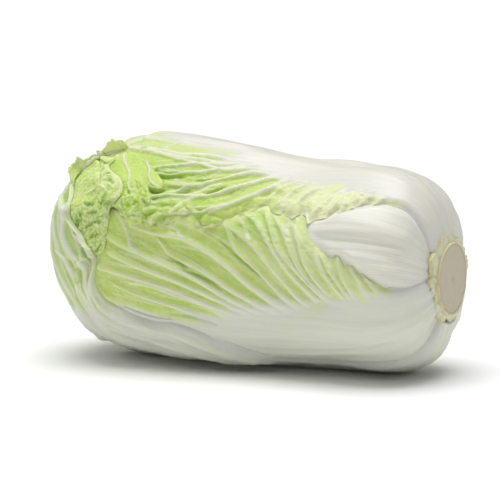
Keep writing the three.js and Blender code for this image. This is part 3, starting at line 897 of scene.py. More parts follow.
def leaf_veins(name):
    """A leaf's thick veins, its thin ones and its narrow grooves."""
    leaf = LEAVES[name]
    hood = name == "under_leaf"
    low, high, rng = leaf_lines(name)
    mains = [side_vein(path) for path in (low if hood else low + high)]
    if hood:
        mains += [vein(path, (3.2, 2.6), (2.6, 2.0), 0.95) for path in high[:1]]
        mains += [vein(path, (2.6, 3.4), (1.4, 1.6), 0.85) for path in high[1:]]
        mains += [vein(head_line(line, 3), (1.3, 1.1), (0.9, 0.7), 0.8) for line in HOOD_RIDGES]
    if name == "top_leaf":
        mains += [vein(hand_line(leaf, line), ends, (0.7, 1.1)) for line, *ends in TIP_VEINS]
    thin = branches(low, rng) + ([] if hood else branches(high, rng))
    twigs, slits = MARKS.get(name, ([], []))
    thin += [vein(hand_line(leaf, line), (1.1, 0.7), (0.9, 0.6), 0.9) for line in twigs]
    grooves = [(hand_line(leaf, line), 1.15) for line in slits]
    if hood:
        grooves = [(head_line(line, 2.5), wide) for line, wide in HOOD_GROOVES]
    return mains, thin, grooves


def puckers(name, s, y, v, blade):
    """The puckered skin between veins, higher towards the margin and highest at the top leaf's low one."""
    warp = 1.5 * noise(s / 9, y / 9, 21)
    cells = domes((s + warp) / 7.5, (y - warp) / 6, 5) - 0.5
    edge = np.abs(v)
    rumple = 0
    if name == "top_leaf":
        rumple = 1.6 * ease((edge - 0.84) / 0.08) * ease((s - 145) / 20) * (v < 0)
    return (RELIEF["pucker"] + rumple) * cells * blade * (0.3 + 0.7 * edge)


def growth(name, spot):
    """How pale a blade is by the root and the top leaf's midrib, and how green by its tip, with a painted
    shade of deeper green beside the hood's roll.
    """
    _, s, side = spot
    young = YOUNG.get(name, 0) * ease((160 - s) / 80)
    ripe_and_shade = RIPE.get(name, 0) * ease((s - 155) / 40)
    if name == "front_leaf":
        past_hood = past_leaf(LEAVES["under_leaf"], *spot)
        # Painted shade: the front leaf turns a deeper green where it runs in under the hood's rolled margin.
        painted_shade_by_roll = 0.7 * np.exp(-((past_hood / 3.2) ** 2)) * ease((s - 226) / 12)
        ripe_and_shade = RIPE[name] * ease((s - 95) / 30) * ease((side - 60) / 15) + painted_shade_by_roll
    if name == "top_leaf":
        young = young + 0.55 * ease((side + 40) / 14) * ease((s - 150) / 40)
    return young, ripe_and_shade


def laid_down(name, u, v, spot, free):
    """The height of a leaf's underside, which comes down at its margin and its end, and its thickness."""
    leaf = LEAVES[name]
    _, s, side = spot
    edge = np.abs(v)
    over = underside(name, *spot) + leaf["loose"]
    drop = np.clip(over - resting(name, *spot) + RIM, 0, MOST_DROP)
    near_drop = np.minimum(drop, LAYER_GAP + leaf["loose"])
    tuck = near_drop * ease((edge - 0.86) / 0.12) + (drop - near_drop) * ease((edge - 0.66) / 0.3)
    tight = np.maximum(snugness(name, s, side), ease((u - 0.93) / 0.06))
    thick = leaf_thickness(leaf, s, side)
    thick = thick - (thick - RIM) * np.maximum(ease((edge - 0.92) / 0.08), ease((u - 0.97) / 0.03))
    return over - np.maximum(tuck, tight * drop) * free, thick


def leaf_piece(name, material):
    leaf = LEAVES[name]
    u, v, s, side, room = leaf_grid(name)
    edge = np.abs(v)
    spot = (midrib_angle(leaf, s), s, side)
    at = plane(s, side)
    y = at[..., 1]
    mains, thin, grooves = leaf_veins(name)
    rise, white, pale = vein_relief(at, mains + thin)
    gap_to, shaded = nearest_vein(at, mains)
    deep = groove_relief(at, grooves)

    free = freedom(name, *spot)
    young, ripe_and_shade = growth(name, spot)
    past_rib = (np.abs(side) - curve(leaf["rib"], s)) * MM_PER_DEGREE
    blade = ease((past_rib + 2) / 9)
    between = 1 - np.exp(-((gap_to / 2.6) ** 2))
    valley = between * blade
    # beside is the flank of each thick vein on its shaded side: the relief sinks it, and below it is painted
    # deep green as painted shade.
    beside = np.exp(-(((gap_to - 1.3) / 1.5) ** 2)) * blade * shaded
    bulge = ease((gap_to - 2) / 7) * blade
    wave = noise(s / 17, y / 12, 8)
    ruffle = 1.5 * noise(s / 5.5, y / 30, 31) + 0.7 * noise(s / 2.6, y / 20, 33)
    near_edge = ease((edge - 0.8) / 0.2) * frill(leaf, s, v)
    relief = (
        rise * ease((past_rib + 7) / 9) * (0.3 if name == "inner_front_leaf" else 1)
        + blade
        - RELIEF["valley"] * valley
        - RELIEF["beside"] * beside
        + RELIEF["bulge"] * bulge
        + puckers(name, s, y, v, blade)
        + RELIEF["wave"] * wave * blade
        - RELIEF["groove"] * deep
        + ruffle * near_edge * room
    )
    furrow = 0.18 * noise(s / 90, y / 3.2, 41) + 0.4 * noise(s / 80, y / 9, 43)
    relief = relief + (1 - blade) * (furrow + stalk_ridges(name, at))
    roll = white_reach = np.zeros_like(s)
    if name == "under_leaf":
        roll = rolled_margin(leaf, s, side)
        white_reach = curve(HOOD_WHITE, s) * (v > 0)
        relief = relief * (1 - 0.5 * snugness(name, s, side))
    relief = relief * (1 - roll) + (ROLL["tall"] - ease((s - ROLL["slim"]) / 20)) * roll

    under, thick = laid_down(name, u, v, spot, free)
    pad = np.clip(cover_past(past_fold(*spot)), 0, 1) if name == "top_leaf" else 0
    level = place(*spot, under + thick)[..., 2]
    relief = relief * free * ease((level - 0.5) / 8)
    stay = np.clip(relief, -1.2, 0)
    inner = place(*spot, under + stay)
    outer = on_floor(place(*spot, under + stay + thick + pad + np.maximum(relief - stay, -0.4 * thick)))
    inner[..., 2] = np.maximum(inner[..., 2], 0.3)

    past_white = past_rib - white_reach - 18 * (1 - ease((s - 26) / 14)) + 6
    past_white = past_white + 10 * (between - 0.4) - 4 * noise(s / 14, y / 6, 3)
    # The deep green is partly the leaf's own green between the veins and at its tip, and partly painted
    # shade: in the grooves, on the shaded flank of each vein and beside the hood's roll.
    green = deep + 0.75 * beside * (0.6 + 0.4 * wave) + 0.25 * valley + ripe_and_shade
    fields = skin_fields(
        s, y,
        vein=np.clip(np.maximum(white * blade, 0.95 * roll), 0, 1),
        pale=np.clip(np.maximum(pale, 1.5 * young), 0, 1.7),
        stalk=1 - ease(past_white / 15),
        deep=np.clip(green, 0, 1) * free * (1 - 0.7 * young),
        margin=ease((edge - 0.965) / 0.03) * free,
    )
    return sheet_piece(name + "_sheet", outer, inner, fields, material)


def folded_tip(material, rows=96, columns=159):
    """The top leaf's tip: smooth beside the veins that fan out from the pivot, with a crumpled lower lobe."""
    u, v = unit_grid(rows, columns)
    angle = (FOLD["start"] + FOLD["end"]) / 2 + v * (FOLD["end"] - FOLD["start"]) / 2
    ragged = waves(angle, 0.5, (1.4, 4, 61), (1.0, 1.7, 62))
    radius = 3 + (curve(FOLD["reach"], angle) + ragged - 3) * u
    s = FOLD["s"] - radius * np.cos(np.radians(angle))
    phi = FOLD["phi"] - radius * np.sin(np.radians(angle)) / MM_PER_DEGREE
    spot = (phi, s, np.zeros_like(s))
    at = plane(s, phi)
    y = at[..., 1]
    veins = [vein(head_line(line), (1.3, 0.8), (1.3, 0.9)) for line in FOLD_VEINS]
    ridges = [vein(head_line(line), (0.8, 0.7), (0.9, 0.7), 0.6) for line in FOLD_RIDGES]
    rise, white, pale = vein_relief(at, veins + ridges)
    dark = groove_relief(at, [(head_line(line), 1.2) for line in FOLD_CREASES])
    warp = 2 * noise(s / 8, y / 8, 63)
    savoy = domes((s + warp) / 4.2, (y - warp) / 3.8, 64)
    crumpled = ease((43 - phi) / 8)
    rim = ease((u - 0.93) / 0.07)
    lump = noise(s / 9, y / 8, 67)
    lift = 1 + rise + crumpled * (0.6 * savoy + 0.45 * lump) - 1.5 * dark
    lift = lift + 0.4 * rim * noise(angle / 3, 3, 66)
    top = underside("fold", *spot) - edge_drop("fold", *spot) - 0.3
    sunk = np.maximum(ease((np.abs(v) - 0.88) / 0.12), 0.45 * ease((u - 0.9) / 0.1))
    free = 0.25 + 0.75 * freedom("fold", *spot)
    height = top + (np.maximum(lift, 0.1) * free) * (1 - sunk) * ease(u / 0.12)
    outer = place(*spot, height + 0.6)
    inner = place(*spot, np.minimum(height - 0.2, top - 0.6))
    # Painted shade: the crumpled lobe is painted deeper green in its creases, between its domes and where its
    # lumps sink.
    green = 1.1 * dark + 0.45 * crumpled * (1 - savoy) + 0.3 * crumpled * ease(-lump) + 0.12
    fields = skin_fields(
        s, y,
        vein=white,
        pale=pale * 0.7,
        stalk=np.zeros_like(s),
        deep=np.clip(green, 0, 1) * ease(u / 0.3),
        margin=rim * 0.6,
    )
    return sheet_piece("folded_tip", outer, inner, fields, material)


def curled_tip(material, rows=150, columns=186):
    """The crumpled heart leaf that comes over the end of the head and lies on the edges of the others."""
    first, last = CURL["edge"][0][0], CURL["edge"][-1][0]
    u, v = unit_grid(rows, columns)
    u = u**1.15
    phi = last + (first - last) * (1 - v) / 2
    ragged = waves(phi, 0.5, (1.0, 4, 71), (0.8, 1.8, 72)) * (1 - u) ** 4
    edge = curve(CURL["edge"], phi) + ragged
    s = edge + (CURL["root"] - edge) * u
    spot = (phi, s, np.zeros_like(s))
    dive = curl_dive(s, phi)
    low = (underside("curl", *spot) - edge_drop("curl", *spot)) * (1 - dive) - (HEART_GAP + 3) * dive
    free = curl_freedom(s, phi) * (1 - dive)
    at = plane(s, phi)
    y = at[..., 1]
    ridges = [vein(head_line(line), (0.8, 0.65), (1.2, 0.9), 0.9) for line in CURL_RIDGES]
    rise, white, pale = vein_relief(at, ridges)
    dark = groove_relief(at, [(head_line(line), wide) for line, wide in CURL_CREASES])
    warp = 2 * noise(s / 8, y / 8, 73)
    savoy = domes((s + warp) / 3.6, (y - warp) / 3.4, 74)
    across, along = 0.75 * s + 0.66 * y, 0.66 * s - 0.75 * y
    streaks = noise((across + 0.6 * warp) / 2.3, along / 11, 75) * ease((phi - 23) / 6)
    whorl = 1 - ease((phi - 23) / 6)
    rim = 1 - ease(u / 0.07)
    form = 2.3 + 0.4 * noise(s / 13, y / 11, 70) + (0.6 - 0.25 * whorl) * rise + 0.3 * streaks - 1.1 * dark
    form = form + (0.2 + 0.25 * whorl) * (savoy - 0.5)
    height = (1.1 + (form - 1.1) * free) * (1 - 0.5 * rim) + 2 * dive
    outer = place(*spot, low + np.maximum(height, 0.3))
    inner = place(*spot, low - 0.5)
    # Painted shade: deeper green in the creases, between the savoy domes and in the streaks' troughs; the
    # streaks' crests are painted paler, as painted light.
    green = 1.2 * dark + (0.2 + 0.4 * whorl) * (1 - savoy) - 0.4 * streaks
    fields = skin_fields(
        s, y,
        vein=white * (0.6 - 0.2 * whorl) * free,
        pale=np.clip(0.9 * pale + 0.8 * streaks, 0, 1),
        stalk=np.zeros_like(s),
        deep=np.clip(green, 0, 1) * free,
        margin=rim * 0.6,
    )
    return sheet_piece("curled_tip", outer, inner, fields, material)


def hood_frill(material, rows=21, columns=150):
    """Past its roll the hood's torn margin stands up in two frills, seen over the end of the head."""
    u, v = unit_grid(rows, columns, 0)
    path = resampled(head_line(HOOD_FRILL, 0.5), columns + 1)
    s, y = path[:, 0] * np.ones_like(u), path[:, 1] * np.ones_like(u)
    ragged = 1 + 0.2 * noise(v * 36, 0.5, 101) + 0.22 * noise(v * 90, 0.5, 102)
    tall = curve(HOOD_FRILL_HEIGHTS, v) * ragged
    bend = u * (1.2 * noise(v * 14, u, 103) + 0.5 * noise(v * 34, 2 * u, 104))
    height = resting("under_leaf", y / MM_PER_DEGREE, s, 0 * s) + 1.4 + tall * u
    half = 0.9 - 0.55 * u
    outer = place((y + bend - half) / MM_PER_DEGREE, s + half, 0 * s, height)
    inner = place((y + bend + half) / MM_PER_DEGREE, s - half, 0 * s, height)
    fields = skin_fields(
        60 * v, 8 * u,
        vein=0.3 * (1 - u),
        pale=0.4 * (1 - u),
        stalk=0 * s,
        deep=0.4 * ease(noise(12 * v, 3 * u, 105)),
        margin=ease((u - 0.85) / 0.15),
    )
    return sheet_piece("hood_frill", outer, inner, fields, material)


def lathed_faces(rings, sides):
    """Faces over rings of points, closed by the two end points that come after the rings."""
    first, last = rings * sides, rings * sides + 1
    faces = []
    for j in range(sides):
        k = (j + 1) % sides
        for i in range(rings - 1):
            here, ahead = i * sides, (i + 1) * sides
            faces.append([here + j, here + k, ahead + k, ahead + j])
        faces.append([first, k, j])
        faces.append([last, (rings - 1) * sides + j, (rings - 1) * sides + k])
    return faces


def packed_heart(material, rings=90, sides=120):
    """The heart's own outer leaves show only through small gaps and at the very tip."""
    tip_s = BARREL_END + math.pi / 2 * TIP_ARC
    s = (np.arange(rings) / rings * tip_s)[:, None] * np.ones(sides)
    phi = (360 * np.arange(sides) / sides) * np.ones(rings)[:, None]
    y = phi * MM_PER_DEGREE
    crease = np.where(s > BARREL_END, 1.6 * np.sin(np.radians(phi * 4) + s * 0.12) ** 2, 0)
    crumple = 1.2 * domes(s / 9, np.round(y / 9, 6), 81) * ease((s - 150) / 60)
    points = place(phi, s, 0 * s, -HEART_GAP - crease - crumple)
    ends = place(np.zeros(2), np.array([0.0, tip_s]), np.zeros(2), -HEART_GAP * np.ones(2))
    ends[0] = points[0].mean(0)

    def with_ends(value, tail=(0, 0)):
        return np.concatenate([(value + 0 * s).ravel(), tail])

    fields = dict(
        leaf_plane=np.concatenate([np.stack([s, y, 0 * s], -1).reshape(-1, 3), np.zeros((2, 3))]),
        vein=with_ends(0),
        pale=with_ends(0.3),
        stalk=with_ends(1 - ease((s - 90) / 60), (1, 0)),
        deep=with_ends(0.2),
        margin=with_ends(0),
    )
    points = np.concatenate([points.reshape(-1, 3), ends])
    return mesh_piece("packed_heart", points, lathed_faces(rings, sides), fields, material)


def cut_stem(material, sides=180):
    """The round cut face and the stem's side, as a profile of (x, radius) turned round."""
    face_profile = [(CUT_FACE[0] - 0.5 * ease((23 - r) / 3), r) for r in FACE_RINGS]
    profile = np.vstack([smooth_path(STEM_SIDE, 0.5), face_profile])
    turn = np.linspace(0, 2 * math.pi, sides, endpoint=False)
    x, radius = profile[:, 0][:, None], profile[:, 1][:, None]
    collar = np.exp(-(((x - 142) / 1.2) ** 2)) * ease((radius - 22.8) / 0.6)
    ragged = 0.4 * noise(turn * 6, 1, 91) + 0.25 * noise(turn * 17, 2, 92) + 0.2 * noise(turn * 40, 3, 93)
    torn = collar * ragged
    wobble = 1 + 0.015 * np.sin(3 * turn + 0.6)
    dents = 0.12 * noise(radius * np.cos(turn) / 3, radius * np.sin(turn) / 3, 94) * (x > 141.9)
    r = (radius + torn) * wobble
    points = np.stack([x + 0.8 * torn + dents, -np.cos(turn) * r, np.sin(turn) * r + CUT_FACE[2]], -1)
    ends = np.array([[profile[0, 0], 0, CUT_FACE[2]], [profile[-1, 0], 0, CUT_FACE[2]]])
    fields = dict(
        collar=np.concatenate([(collar + 0 * turn).ravel(), [0, 0]]),
        radius=np.concatenate([r.ravel(), [0, 0]]),
    )
    points = np.concatenate([points.reshape(-1, 3), ends])
    faces = [face[::-1] for face in lathed_faces(len(profile), sides)]
    return mesh_piece("cut_stem", points, faces, fields, material)


def torn_collar(material, stubs=11, rows=12, columns=48):
    """The short torn stubs of the leaves that were pulled off, standing round the cut face."""
    rng = np.random.default_rng(7)
    u, v = unit_grid(rows, columns)
    points, faces, rim = [], [], []
    for k in range(stubs):
        angle = 360 * k / stubs + rng.uniform(-9, 9) + rng.uniform(20, 34) * v
        torn = 1 + 0.3 * noise(angle / 7, k, 95) + 0.22 * noise(angle / 2.6, k, 96)
        length = rng.uniform(5.5, 7.5) * (1 - np.abs(v) ** 3) ** 0.6 * torn
        radius = 23.2 + 0.4 * (k % 2) + length * u
        x = 140.2 + 0.4 * (k % 3) - 0.6 * u**1.5 - 1.2 * np.abs(v) ** 2 + 0.5 * noise(angle / 5, 3 * u, 97)
        thick = 4.5 - 1.5 * u
        first = sum(len(group) for group in points)
        faces += [[first + corner for corner in face] for face in sheet_faces(rows, columns)]
        for depth, step in ((0, 1), (thick, COARSE)):
            ring = radius[..., None] * around(angle) + (x - depth)[..., None] * ALONG
            ring = ring + np.array([0, 0, CUT_FACE[2]])
            points.append(ring[:, ::step].reshape(-1, 3))
            rim.append(u[:, ::step].ravel())
    return mesh_piece("torn_collar", np.concatenate(points), faces, dict(rim=np.concatenate(rim)), material)


# Materials.
def linear(red, green, blue):
    """A colour given as it looks on a screen, 0 to 255, as the shader's own numbers."""
    channels = [c / 255 for c in (red, green, blue)]
    return tuple(c / 12.92 if c < 0.04045 else ((c + 0.055) / 1.055) ** 2.4 for c in channels) + (1.0,)


def feed(tree, socket, value):
    """Sets a socket to a value, or links it to another node's socket."""
    if isinstance(value, bpy.types.NodeSocket):
        tree.links.new(value, socket)
    else:
        socket.default_value = value


def add(tree, kind, links=(), **settings):
    """A node with its settings, and its inputs by name."""
    node = tree.nodes.new(kind)
    for name, value in settings.items():
        setattr(node, name, value)
    for name, value in dict(links).items():
        feed(tree, node.inputs[name], value)
    return node


def mixed(tree, factor, first, second):
    node = add(tree, "ShaderNodeMix", data_type="RGBA")
    for socket, value in zip((node.inputs[0], node.inputs[6], node.inputs[7]), (factor, first, second)):
        feed(tree, socket, value)
    return node.outputs[2]


def maths(tree, operation, first, second):
    node = add(tree, "ShaderNodeMath", {0: first, 1: second}, operation=operation)
    return node.outputs[0]


def times(tree, first, second):
    return maths(tree, "MULTIPLY", first, second)


def stretched(tree, vector, scale):
    return add(tree, "ShaderNodeVectorMath", {0: vector, 1: scale}, operation="MULTIPLY").outputs[0]


def noise_at(tree, vector, scale, detail, roughness=0.5, output="Fac"):
    links = {"Vector": vector, "Scale": scale, "Detail": detail, "Roughness": roughness}
    return add(tree, "ShaderNodeTexNoise", links).outputs[output]


def ramp(tree, value, low, high, first=0.0, last=1.0, smooth=False):
    """A number that goes from first to last as a value goes from low to high."""
    links = {"Value": value, "From Min": low, "From Max": high, "To Min": first, "To Max": last}
    kind = "SMOOTHSTEP" if smooth else "LINEAR"
    return add(tree, "ShaderNodeMapRange", links, interpolation_type=kind).outputs[0]


def field_of(tree, name, output="Fac"):
    return add(tree, "ShaderNodeAttribute", attribute_name=name).outputs[output]


def group(name, outputs, **inputs):
    """An empty shader group that takes a plane and named numbers."""
    tree = bpy.data.node_groups.new(name, "ShaderNodeTree")
    tree.interface.new_socket("Plane", in_out="INPUT", socket_type="NodeSocketVector")
    for socket, value in inputs.items():
        made = tree.interface.new_socket(socket, in_out="INPUT", socket_type="NodeSocketFloat")
        made.default_value = value
    for socket in outputs:
        tree.interface.new_socket(socket, in_out="OUTPUT", socket_type="NodeSocketFloat")
    return tree, tree.nodes.new("NodeGroupInput").outputs, tree.nodes.new("NodeGroupOutput").inputs


def mottle_group():
    """Soft patches of two sizes."""
    tree, given, out = group("mottle", ["Value"], Patch=0.06)
    wide = noise_at(tree, given["Plane"], given["Patch"], 3.0)
    fine = noise_at(tree, given["Plane"], times(tree, given["Patch"], 7.0), 4.0, 0.6)
    both = maths(tree, "ADD", times(tree, wide, 0.7), times(tree, fine, 0.3))
    feed(tree, out["Value"], ramp(tree, both, 0.36, 0.64))
    return tree


def net_group():
    """The fine net of veinlets: thin lines between cells."""
    tree, given, out = group("vein_net", ["Mask", "Dome"], Cell=5.0, Line=0.3)
    bend = noise_at(tree, given["Plane"], 0.16, 2.0, output="Color")
    bend = stretched(tree, bend, (5.0, 5.0, 0.0))
    moved = add(tree, "ShaderNodeVectorMath", {0: given["Plane"], 1: bend}, operation="ADD").outputs[0]
    long_cells = stretched(tree, moved, (0.6, 1.0, 0.0))
    frequency = maths(tree, "DIVIDE", 1.0, given["Cell"])
    cells = add(tree, "ShaderNodeTexVoronoi", {"Vector": long_cells, "Scale": frequency},
                feature="DISTANCE_TO_EDGE", voronoi_dimensions="2D").outputs["Distance"]
    distance = times(tree, cells, given["Cell"])
    feed(tree, out["Mask"], ramp(tree, distance, 0.0, given["Line"], 1.0, 0.0, smooth=True))
    feed(tree, out["Dome"], ramp(tree, cells, 0.0, 0.3, smooth=True))
    return tree


def fibre_group():
    """Long fine lines along a stalk."""
    tree, given, out = group("stalk_fibres", ["Value"], Pitch=1.1)
    across = maths(tree, "DIVIDE", 1.0, given["Pitch"])
    stretch = add(tree, "ShaderNodeCombineXYZ", {"X": 0.02, "Y": across}).outputs[0]
    lines = noise_at(tree, stretched(tree, given["Plane"], stretch), 1.0, 4.0, 0.65)
    feed(tree, out["Value"], ramp(tree, lines, 0.3, 0.7))
    return tree


def grouped(tree, group_tree, **values):
    node = tree.nodes.new("ShaderNodeGroup")
    node.node_tree = group_tree
    for name, value in values.items():
        feed(tree, node.inputs[name], value)
    return node.outputs


def new_material(name):
    material = bpy.data.materials.new(name)
    material.use_nodes = True
    tree = material.node_tree
    return material, tree, tree.nodes["Principled BSDF"]


def finish(tree, skin, colour, roughness, height, relief):
    """Gives a surface its colour, its roughness and a small relief in metres."""
    bump = add(tree, "ShaderNodeBump", {"Height": height, "Strength": 0.5, "Distance": relief})
    feed(tree, skin.inputs["Base Color"], colour)
    feed(tree, skin.inputs["Roughness"], roughness)
    feed(tree, skin.inputs["Normal"], bump.outputs[0])


def leaf_skin(name, light, dark, deep, vein_tint, stalk, stalk_shade, net=0.24, cell=5.5):
    """A waxy leaf: mottled green blade, pale veins and a satin white stalk with fine fibres."""
    material, tree, skin = new_material(name)
    spot = field_of(tree, "leaf_plane", "Vector")
    patches = grouped(tree, GROUPS["mottle"], Plane=spot, Patch=0.05)["Value"]
    veinlets = grouped(tree, GROUPS["net"], Plane=spot, Cell=cell, Line=0.45)
    small = grouped(tree, GROUPS["net"], Plane=spot, Cell=2.1, Line=0.3)
    fibres = grouped(tree, GROUPS["fibres"], Plane=spot, Pitch=1.3)["Value"]
    veins, pale, is_stalk, depth, margin = [
        field_of(tree, mask) for mask in ("vein", "pale", "stalk", "deep", "margin")
    ]
    blade = mixed(tree, patches, light, dark)
    # The deep green follows the deep field, which also carries painted shade in grooves, creases, hollows and
    # on vein flanks.
    blade = mixed(tree, times(tree, depth, 0.85), blade, deep)
    lines = maths(tree, "MAXIMUM", times(tree, veinlets["Mask"], net), times(tree, small["Mask"], net * 0.35))
    wash = maths(tree, "MAXIMUM", lines, times(tree, pale, 0.5))
    blade = mixed(tree, wash, blade, vein_tint)
    blade = mixed(tree, times(tree, veins, 0.95), blade, stalk)
    blade = mixed(tree, times(tree, margin, 0.5), blade, vein_tint)
    colour = mixed(tree, is_stalk, blade, mixed(tree, fibres, stalk, stalk_shade))
    rough = ramp(tree, is_stalk, 0.0, 1.0, 0.48, 0.34)
    rough = maths(tree, "ADD", rough, times(tree, patches, 0.08))
    on_blade = maths(tree, "SUBTRACT", 1.0, is_stalk)
    lumps = maths(tree, "ADD", times(tree, veinlets["Dome"], 0.55), times(tree, small["Dome"], 0.25))
    on_stalk = times(tree, fibres, times(tree, is_stalk, 0.12))
    height = maths(tree, "ADD", times(tree, lumps, on_blade), on_stalk)
    finish(tree, skin, colour, rough, height, 0.0005)
    skin.inputs["Subsurface Weight"].default_value = 0.35
    skin.inputs["Subsurface Radius"].default_value = (1.0, 1.0, 0.45)
    skin.inputs["Subsurface Scale"].default_value = 0.004
    return material


def stem_finish():
    """A dry cut face with a darker rim and pith, and the stem's pale side."""
    material, tree, skin = new_material("cut_stem")
    where = add(tree, "ShaderNodeTexCoord").outputs["Object"]
    radius = field_of(tree, "radius")
    collar = field_of(tree, "collar")
    grain = noise_at(tree, where, 260.0, 5.0, 0.65)
    blotch = noise_at(tree, where, 60.0, 3.0)
    face = mixed(tree, grain, linear(222, 211, 192), linear(204, 192, 168))
    face = mixed(tree, times(tree, blotch, 0.35), face, linear(205, 200, 178))
    rim = ramp(tree, radius, 20.6, 23.0, smooth=True)
    face = mixed(tree, times(tree, rim, 0.6), face, linear(176, 158, 112))
    pith = ramp(tree, radius, 3.4, 0.6, smooth=True)
    face = mixed(tree, times(tree, pith, 0.5), face, linear(176, 170, 140))
    torn = mixed(tree, blotch, linear(230, 226, 202), linear(216, 206, 168))
    colour = mixed(tree, ramp(tree, radius, 22.6, 23.3), face, torn)
    colour = mixed(tree, times(tree, collar, 0.5), colour, linear(214, 204, 150))
    rough = maths(tree, "ADD", 0.55, times(tree, grain, 0.2))
    finish(tree, skin, colour, rough, grain, 0.0006)
    return material


def collar_finish():
    """Cream torn flesh that dries to yellow along its rim."""
    material, tree, skin = new_material("torn_collar")
    where = add(tree, "ShaderNodeTexCoord").outputs["Object"]
    blotch = noise_at(tree, where, 170.0, 4.0)
    flesh = mixed(tree, blotch, linear(240, 238, 214), linear(222, 222, 178))
    dried = maths(tree, "ADD", field_of(tree, "rim"), times(tree, blotch, 0.5))
    colour = mixed(tree, ramp(tree, dried, 0.95, 1.45), flesh, linear(222, 212, 158))
    finish(tree, skin, colour, 0.55, blotch, 0.0005)
    skin.inputs["Subsurface Weight"].default_value = 0.2
    skin.inputs["Subsurface Scale"].default_value = 0.003
    return material


# The stage. The floor is a little darker for light that bounces off it than for the camera.
FLOOR_HALF = 60
FLOOR_SEEN, FLOOR_BOUNCE = (0.98, 0.98, 0.98, 1), (0.93, 0.93, 0.92, 1)
SKY = 0.2

# Wide soft lights, as a name, an energy, an angle in degrees and the direction they come from.
LIGHTS = [
    ("overhead", 2.55, 47, (-0.03, 0.05, 1)),
    ("upper_left", 0.3, 40, (-0.5, -0.45, 1)),
    ("left_fill", 0.16, 90, (-0.7, -0.8, 0.05)),
]

# The camera stands at the front right, a little above the head, and looks at a spot near the middle of it.
# turn and rise are in degrees, distance, target and aside in metres, and lens and sensor in millimetres.
CAMERA = dict(turn=27, rise=7, distance=1.5, target=(0, 0, 0.077), aside=-0.0047, lens=159.8, sensor=36)


def stage_floor():
    mesh = bpy.data.meshes.new("floor")
    corners = [(-1, -1), (1, -1), (1, 1), (-1, 1)]
    mesh.from_pydata([(x * FLOOR_HALF, y * FLOOR_HALF, 0) for x, y in corners], [], [(0, 1, 2, 3)])
    floor = bpy.data.objects.new("floor", mesh)
    bpy.context.scene.collection.objects.link(floor)
    material, tree, skin = new_material("floor")
    skin.inputs["Base Color"].default_value = FLOOR_SEEN
    skin.inputs["Roughness"].default_value = 0.9
    skin.inputs["Specular IOR Level"].default_value = 0.1
    dim = add(tree, "ShaderNodeBsdfDiffuse", {"Color": FLOOR_BOUNCE})
    seen = add(tree, "ShaderNodeLightPath").outputs["Is Camera Ray"]
    both = add(tree, "ShaderNodeMixShader", {0: seen, 1: dim.outputs[0], 2: skin.outputs[0]})
    tree.links.new(both.outputs[0], tree.nodes["Material Output"].inputs["Surface"])
    mesh.materials.append(material)


def studio():
    world = bpy.data.worlds.new("studio")
    world.use_nodes = True
    sky = world.node_tree.nodes["Background"].inputs
    sky["Color"].default_value = (1, 1, 1, 1)
    sky["Strength"].default_value = SKY
    bpy.context.scene.world = world
    for name, energy, angle, direction in LIGHTS:
        light = bpy.data.lights.new(name, "SUN")
        light.energy = energy
        light.angle = math.radians(angle)
        lamp = bpy.data.objects.new(name, light)
        lamp.rotation_euler = Vector(direction).to_track_quat("Z", "Y").to_euler()
        bpy.context.scene.collection.objects.link(lamp)
    bpy.context.scene.view_settings.view_transform = "Standard"


def camera():
    turn, rise = math.radians(CAMERA["turn"]), math.radians(CAMERA["rise"])
    back = Vector((math.sin(turn) * math.cos(rise), -math.cos(turn) * math.cos(rise), math.sin(rise)))
    right = Vector((math.cos(turn), math.sin(turn), 0))
    target = Vector(CAMERA["target"]) + Vector(SHIFT) * MM + right * CAMERA["aside"]
    data = bpy.data.cameras.new("camera")
    data.lens = CAMERA["lens"]
    data.sensor_width = CAMERA["sensor"]
    view = bpy.data.objects.new("camera", data)
    view.location = target + back * CAMERA["distance"]
    view.rotation_euler = back.to_track_quat("Z", "Y").to_euler()
    bpy.context.scene.collection.objects.link(view)
    bpy.context.scene.camera = view


def frame_shift():
    """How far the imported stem's cut face lies from its place in this script's own numbers."""
    points = np.array([vertex.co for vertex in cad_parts["stem"].data.vertices]) / MM
    face = np.unique(points[points[:, 0] > points[:, 0].max() - 0.05].round(3), axis=0)
    middle = face[np.linalg.norm(face - face.mean(0), axis=1).argmin()]
    return middle - np.array(CUT_FACE)


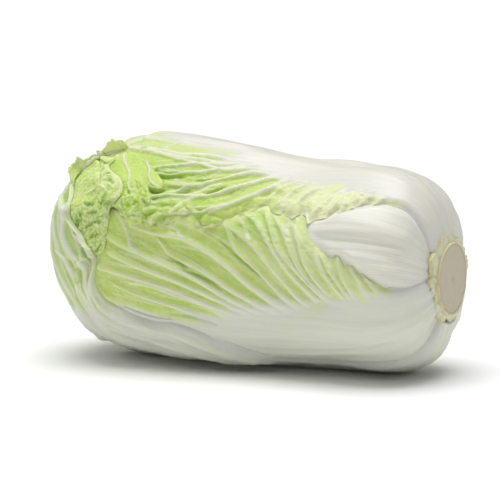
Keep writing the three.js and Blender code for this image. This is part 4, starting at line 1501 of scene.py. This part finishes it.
def dress(piece, slot, *nodes):
    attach(piece, "root")
    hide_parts(*nodes)


SHIFT = frame_shift()
GROUPS = dict(mottle=mottle_group(), net=net_group(), fibres=fibre_group())

# The skins' colours as on a screen: the blade's light patches, its dark ones, its deepest green, which also
# serves as painted shade, the tint of its small veins, the stalk and the stalk's darker fibre tone.
WHITE, WHITE_SHADE = (235, 236, 224), (227, 230, 214)
SKINS = dict(
    front_leaf=[(228, 243, 158), (206, 231, 118), (154, 196, 44), (238, 245, 196), WHITE, WHITE_SHADE],
    inner_leaf=[(204, 224, 138), (182, 212, 104), (146, 188, 48), (226, 236, 184), (248, 243, 234),
                (222, 226, 212)],
    top_leaf=[(213, 234, 126), (192, 221, 92), (150, 192, 44), (241, 246, 196), (237, 234, 225),
              (225, 225, 212)],
    under_leaf=[(213, 230, 160), (195, 217, 124), (150, 190, 50), (231, 239, 200), WHITE, WHITE_SHADE],
    curled_tip=[(225, 240, 154), (201, 227, 112), (122, 170, 32), (232, 242, 184), (238, 243, 206),
                WHITE_SHADE],
    heart=[(224, 228, 160), (206, 216, 130), (176, 190, 80), (236, 236, 196), WHITE, WHITE_SHADE],
)
SKIN_NETS = dict(curled_tip=dict(net=0.55, cell=3.4))
skins = {
    part: leaf_skin(part + "_skin", *[linear(*colour) for colour in colours], **SKIN_NETS.get(part, {}))
    for part, colours in SKINS.items()
}

camera()
dress(cut_stem(stem_finish()), "stem", "stem")
dress(torn_collar(collar_finish()), "stem", "stem")
dress(packed_heart(skins["heart"]), "heart", "heart")
dress(curled_tip(skins["curled_tip"]), "heart", "heart")
for leaf_name, skin_name in (
    ("inner_front_leaf", "inner_leaf"), ("back_leaf", "under_leaf"), ("front_leaf", "front_leaf"),
    ("top_leaf", "top_leaf"), ("under_leaf", "under_leaf"),
):
    dress(leaf_piece(leaf_name, skins[skin_name]), "leaf", leaf_name)
dress(folded_tip(skins["top_leaf"]), "leaf", "top_leaf")
dress(hood_frill(skins["curled_tip"]), "leaf", "under_leaf")
stage_floor()
studio()
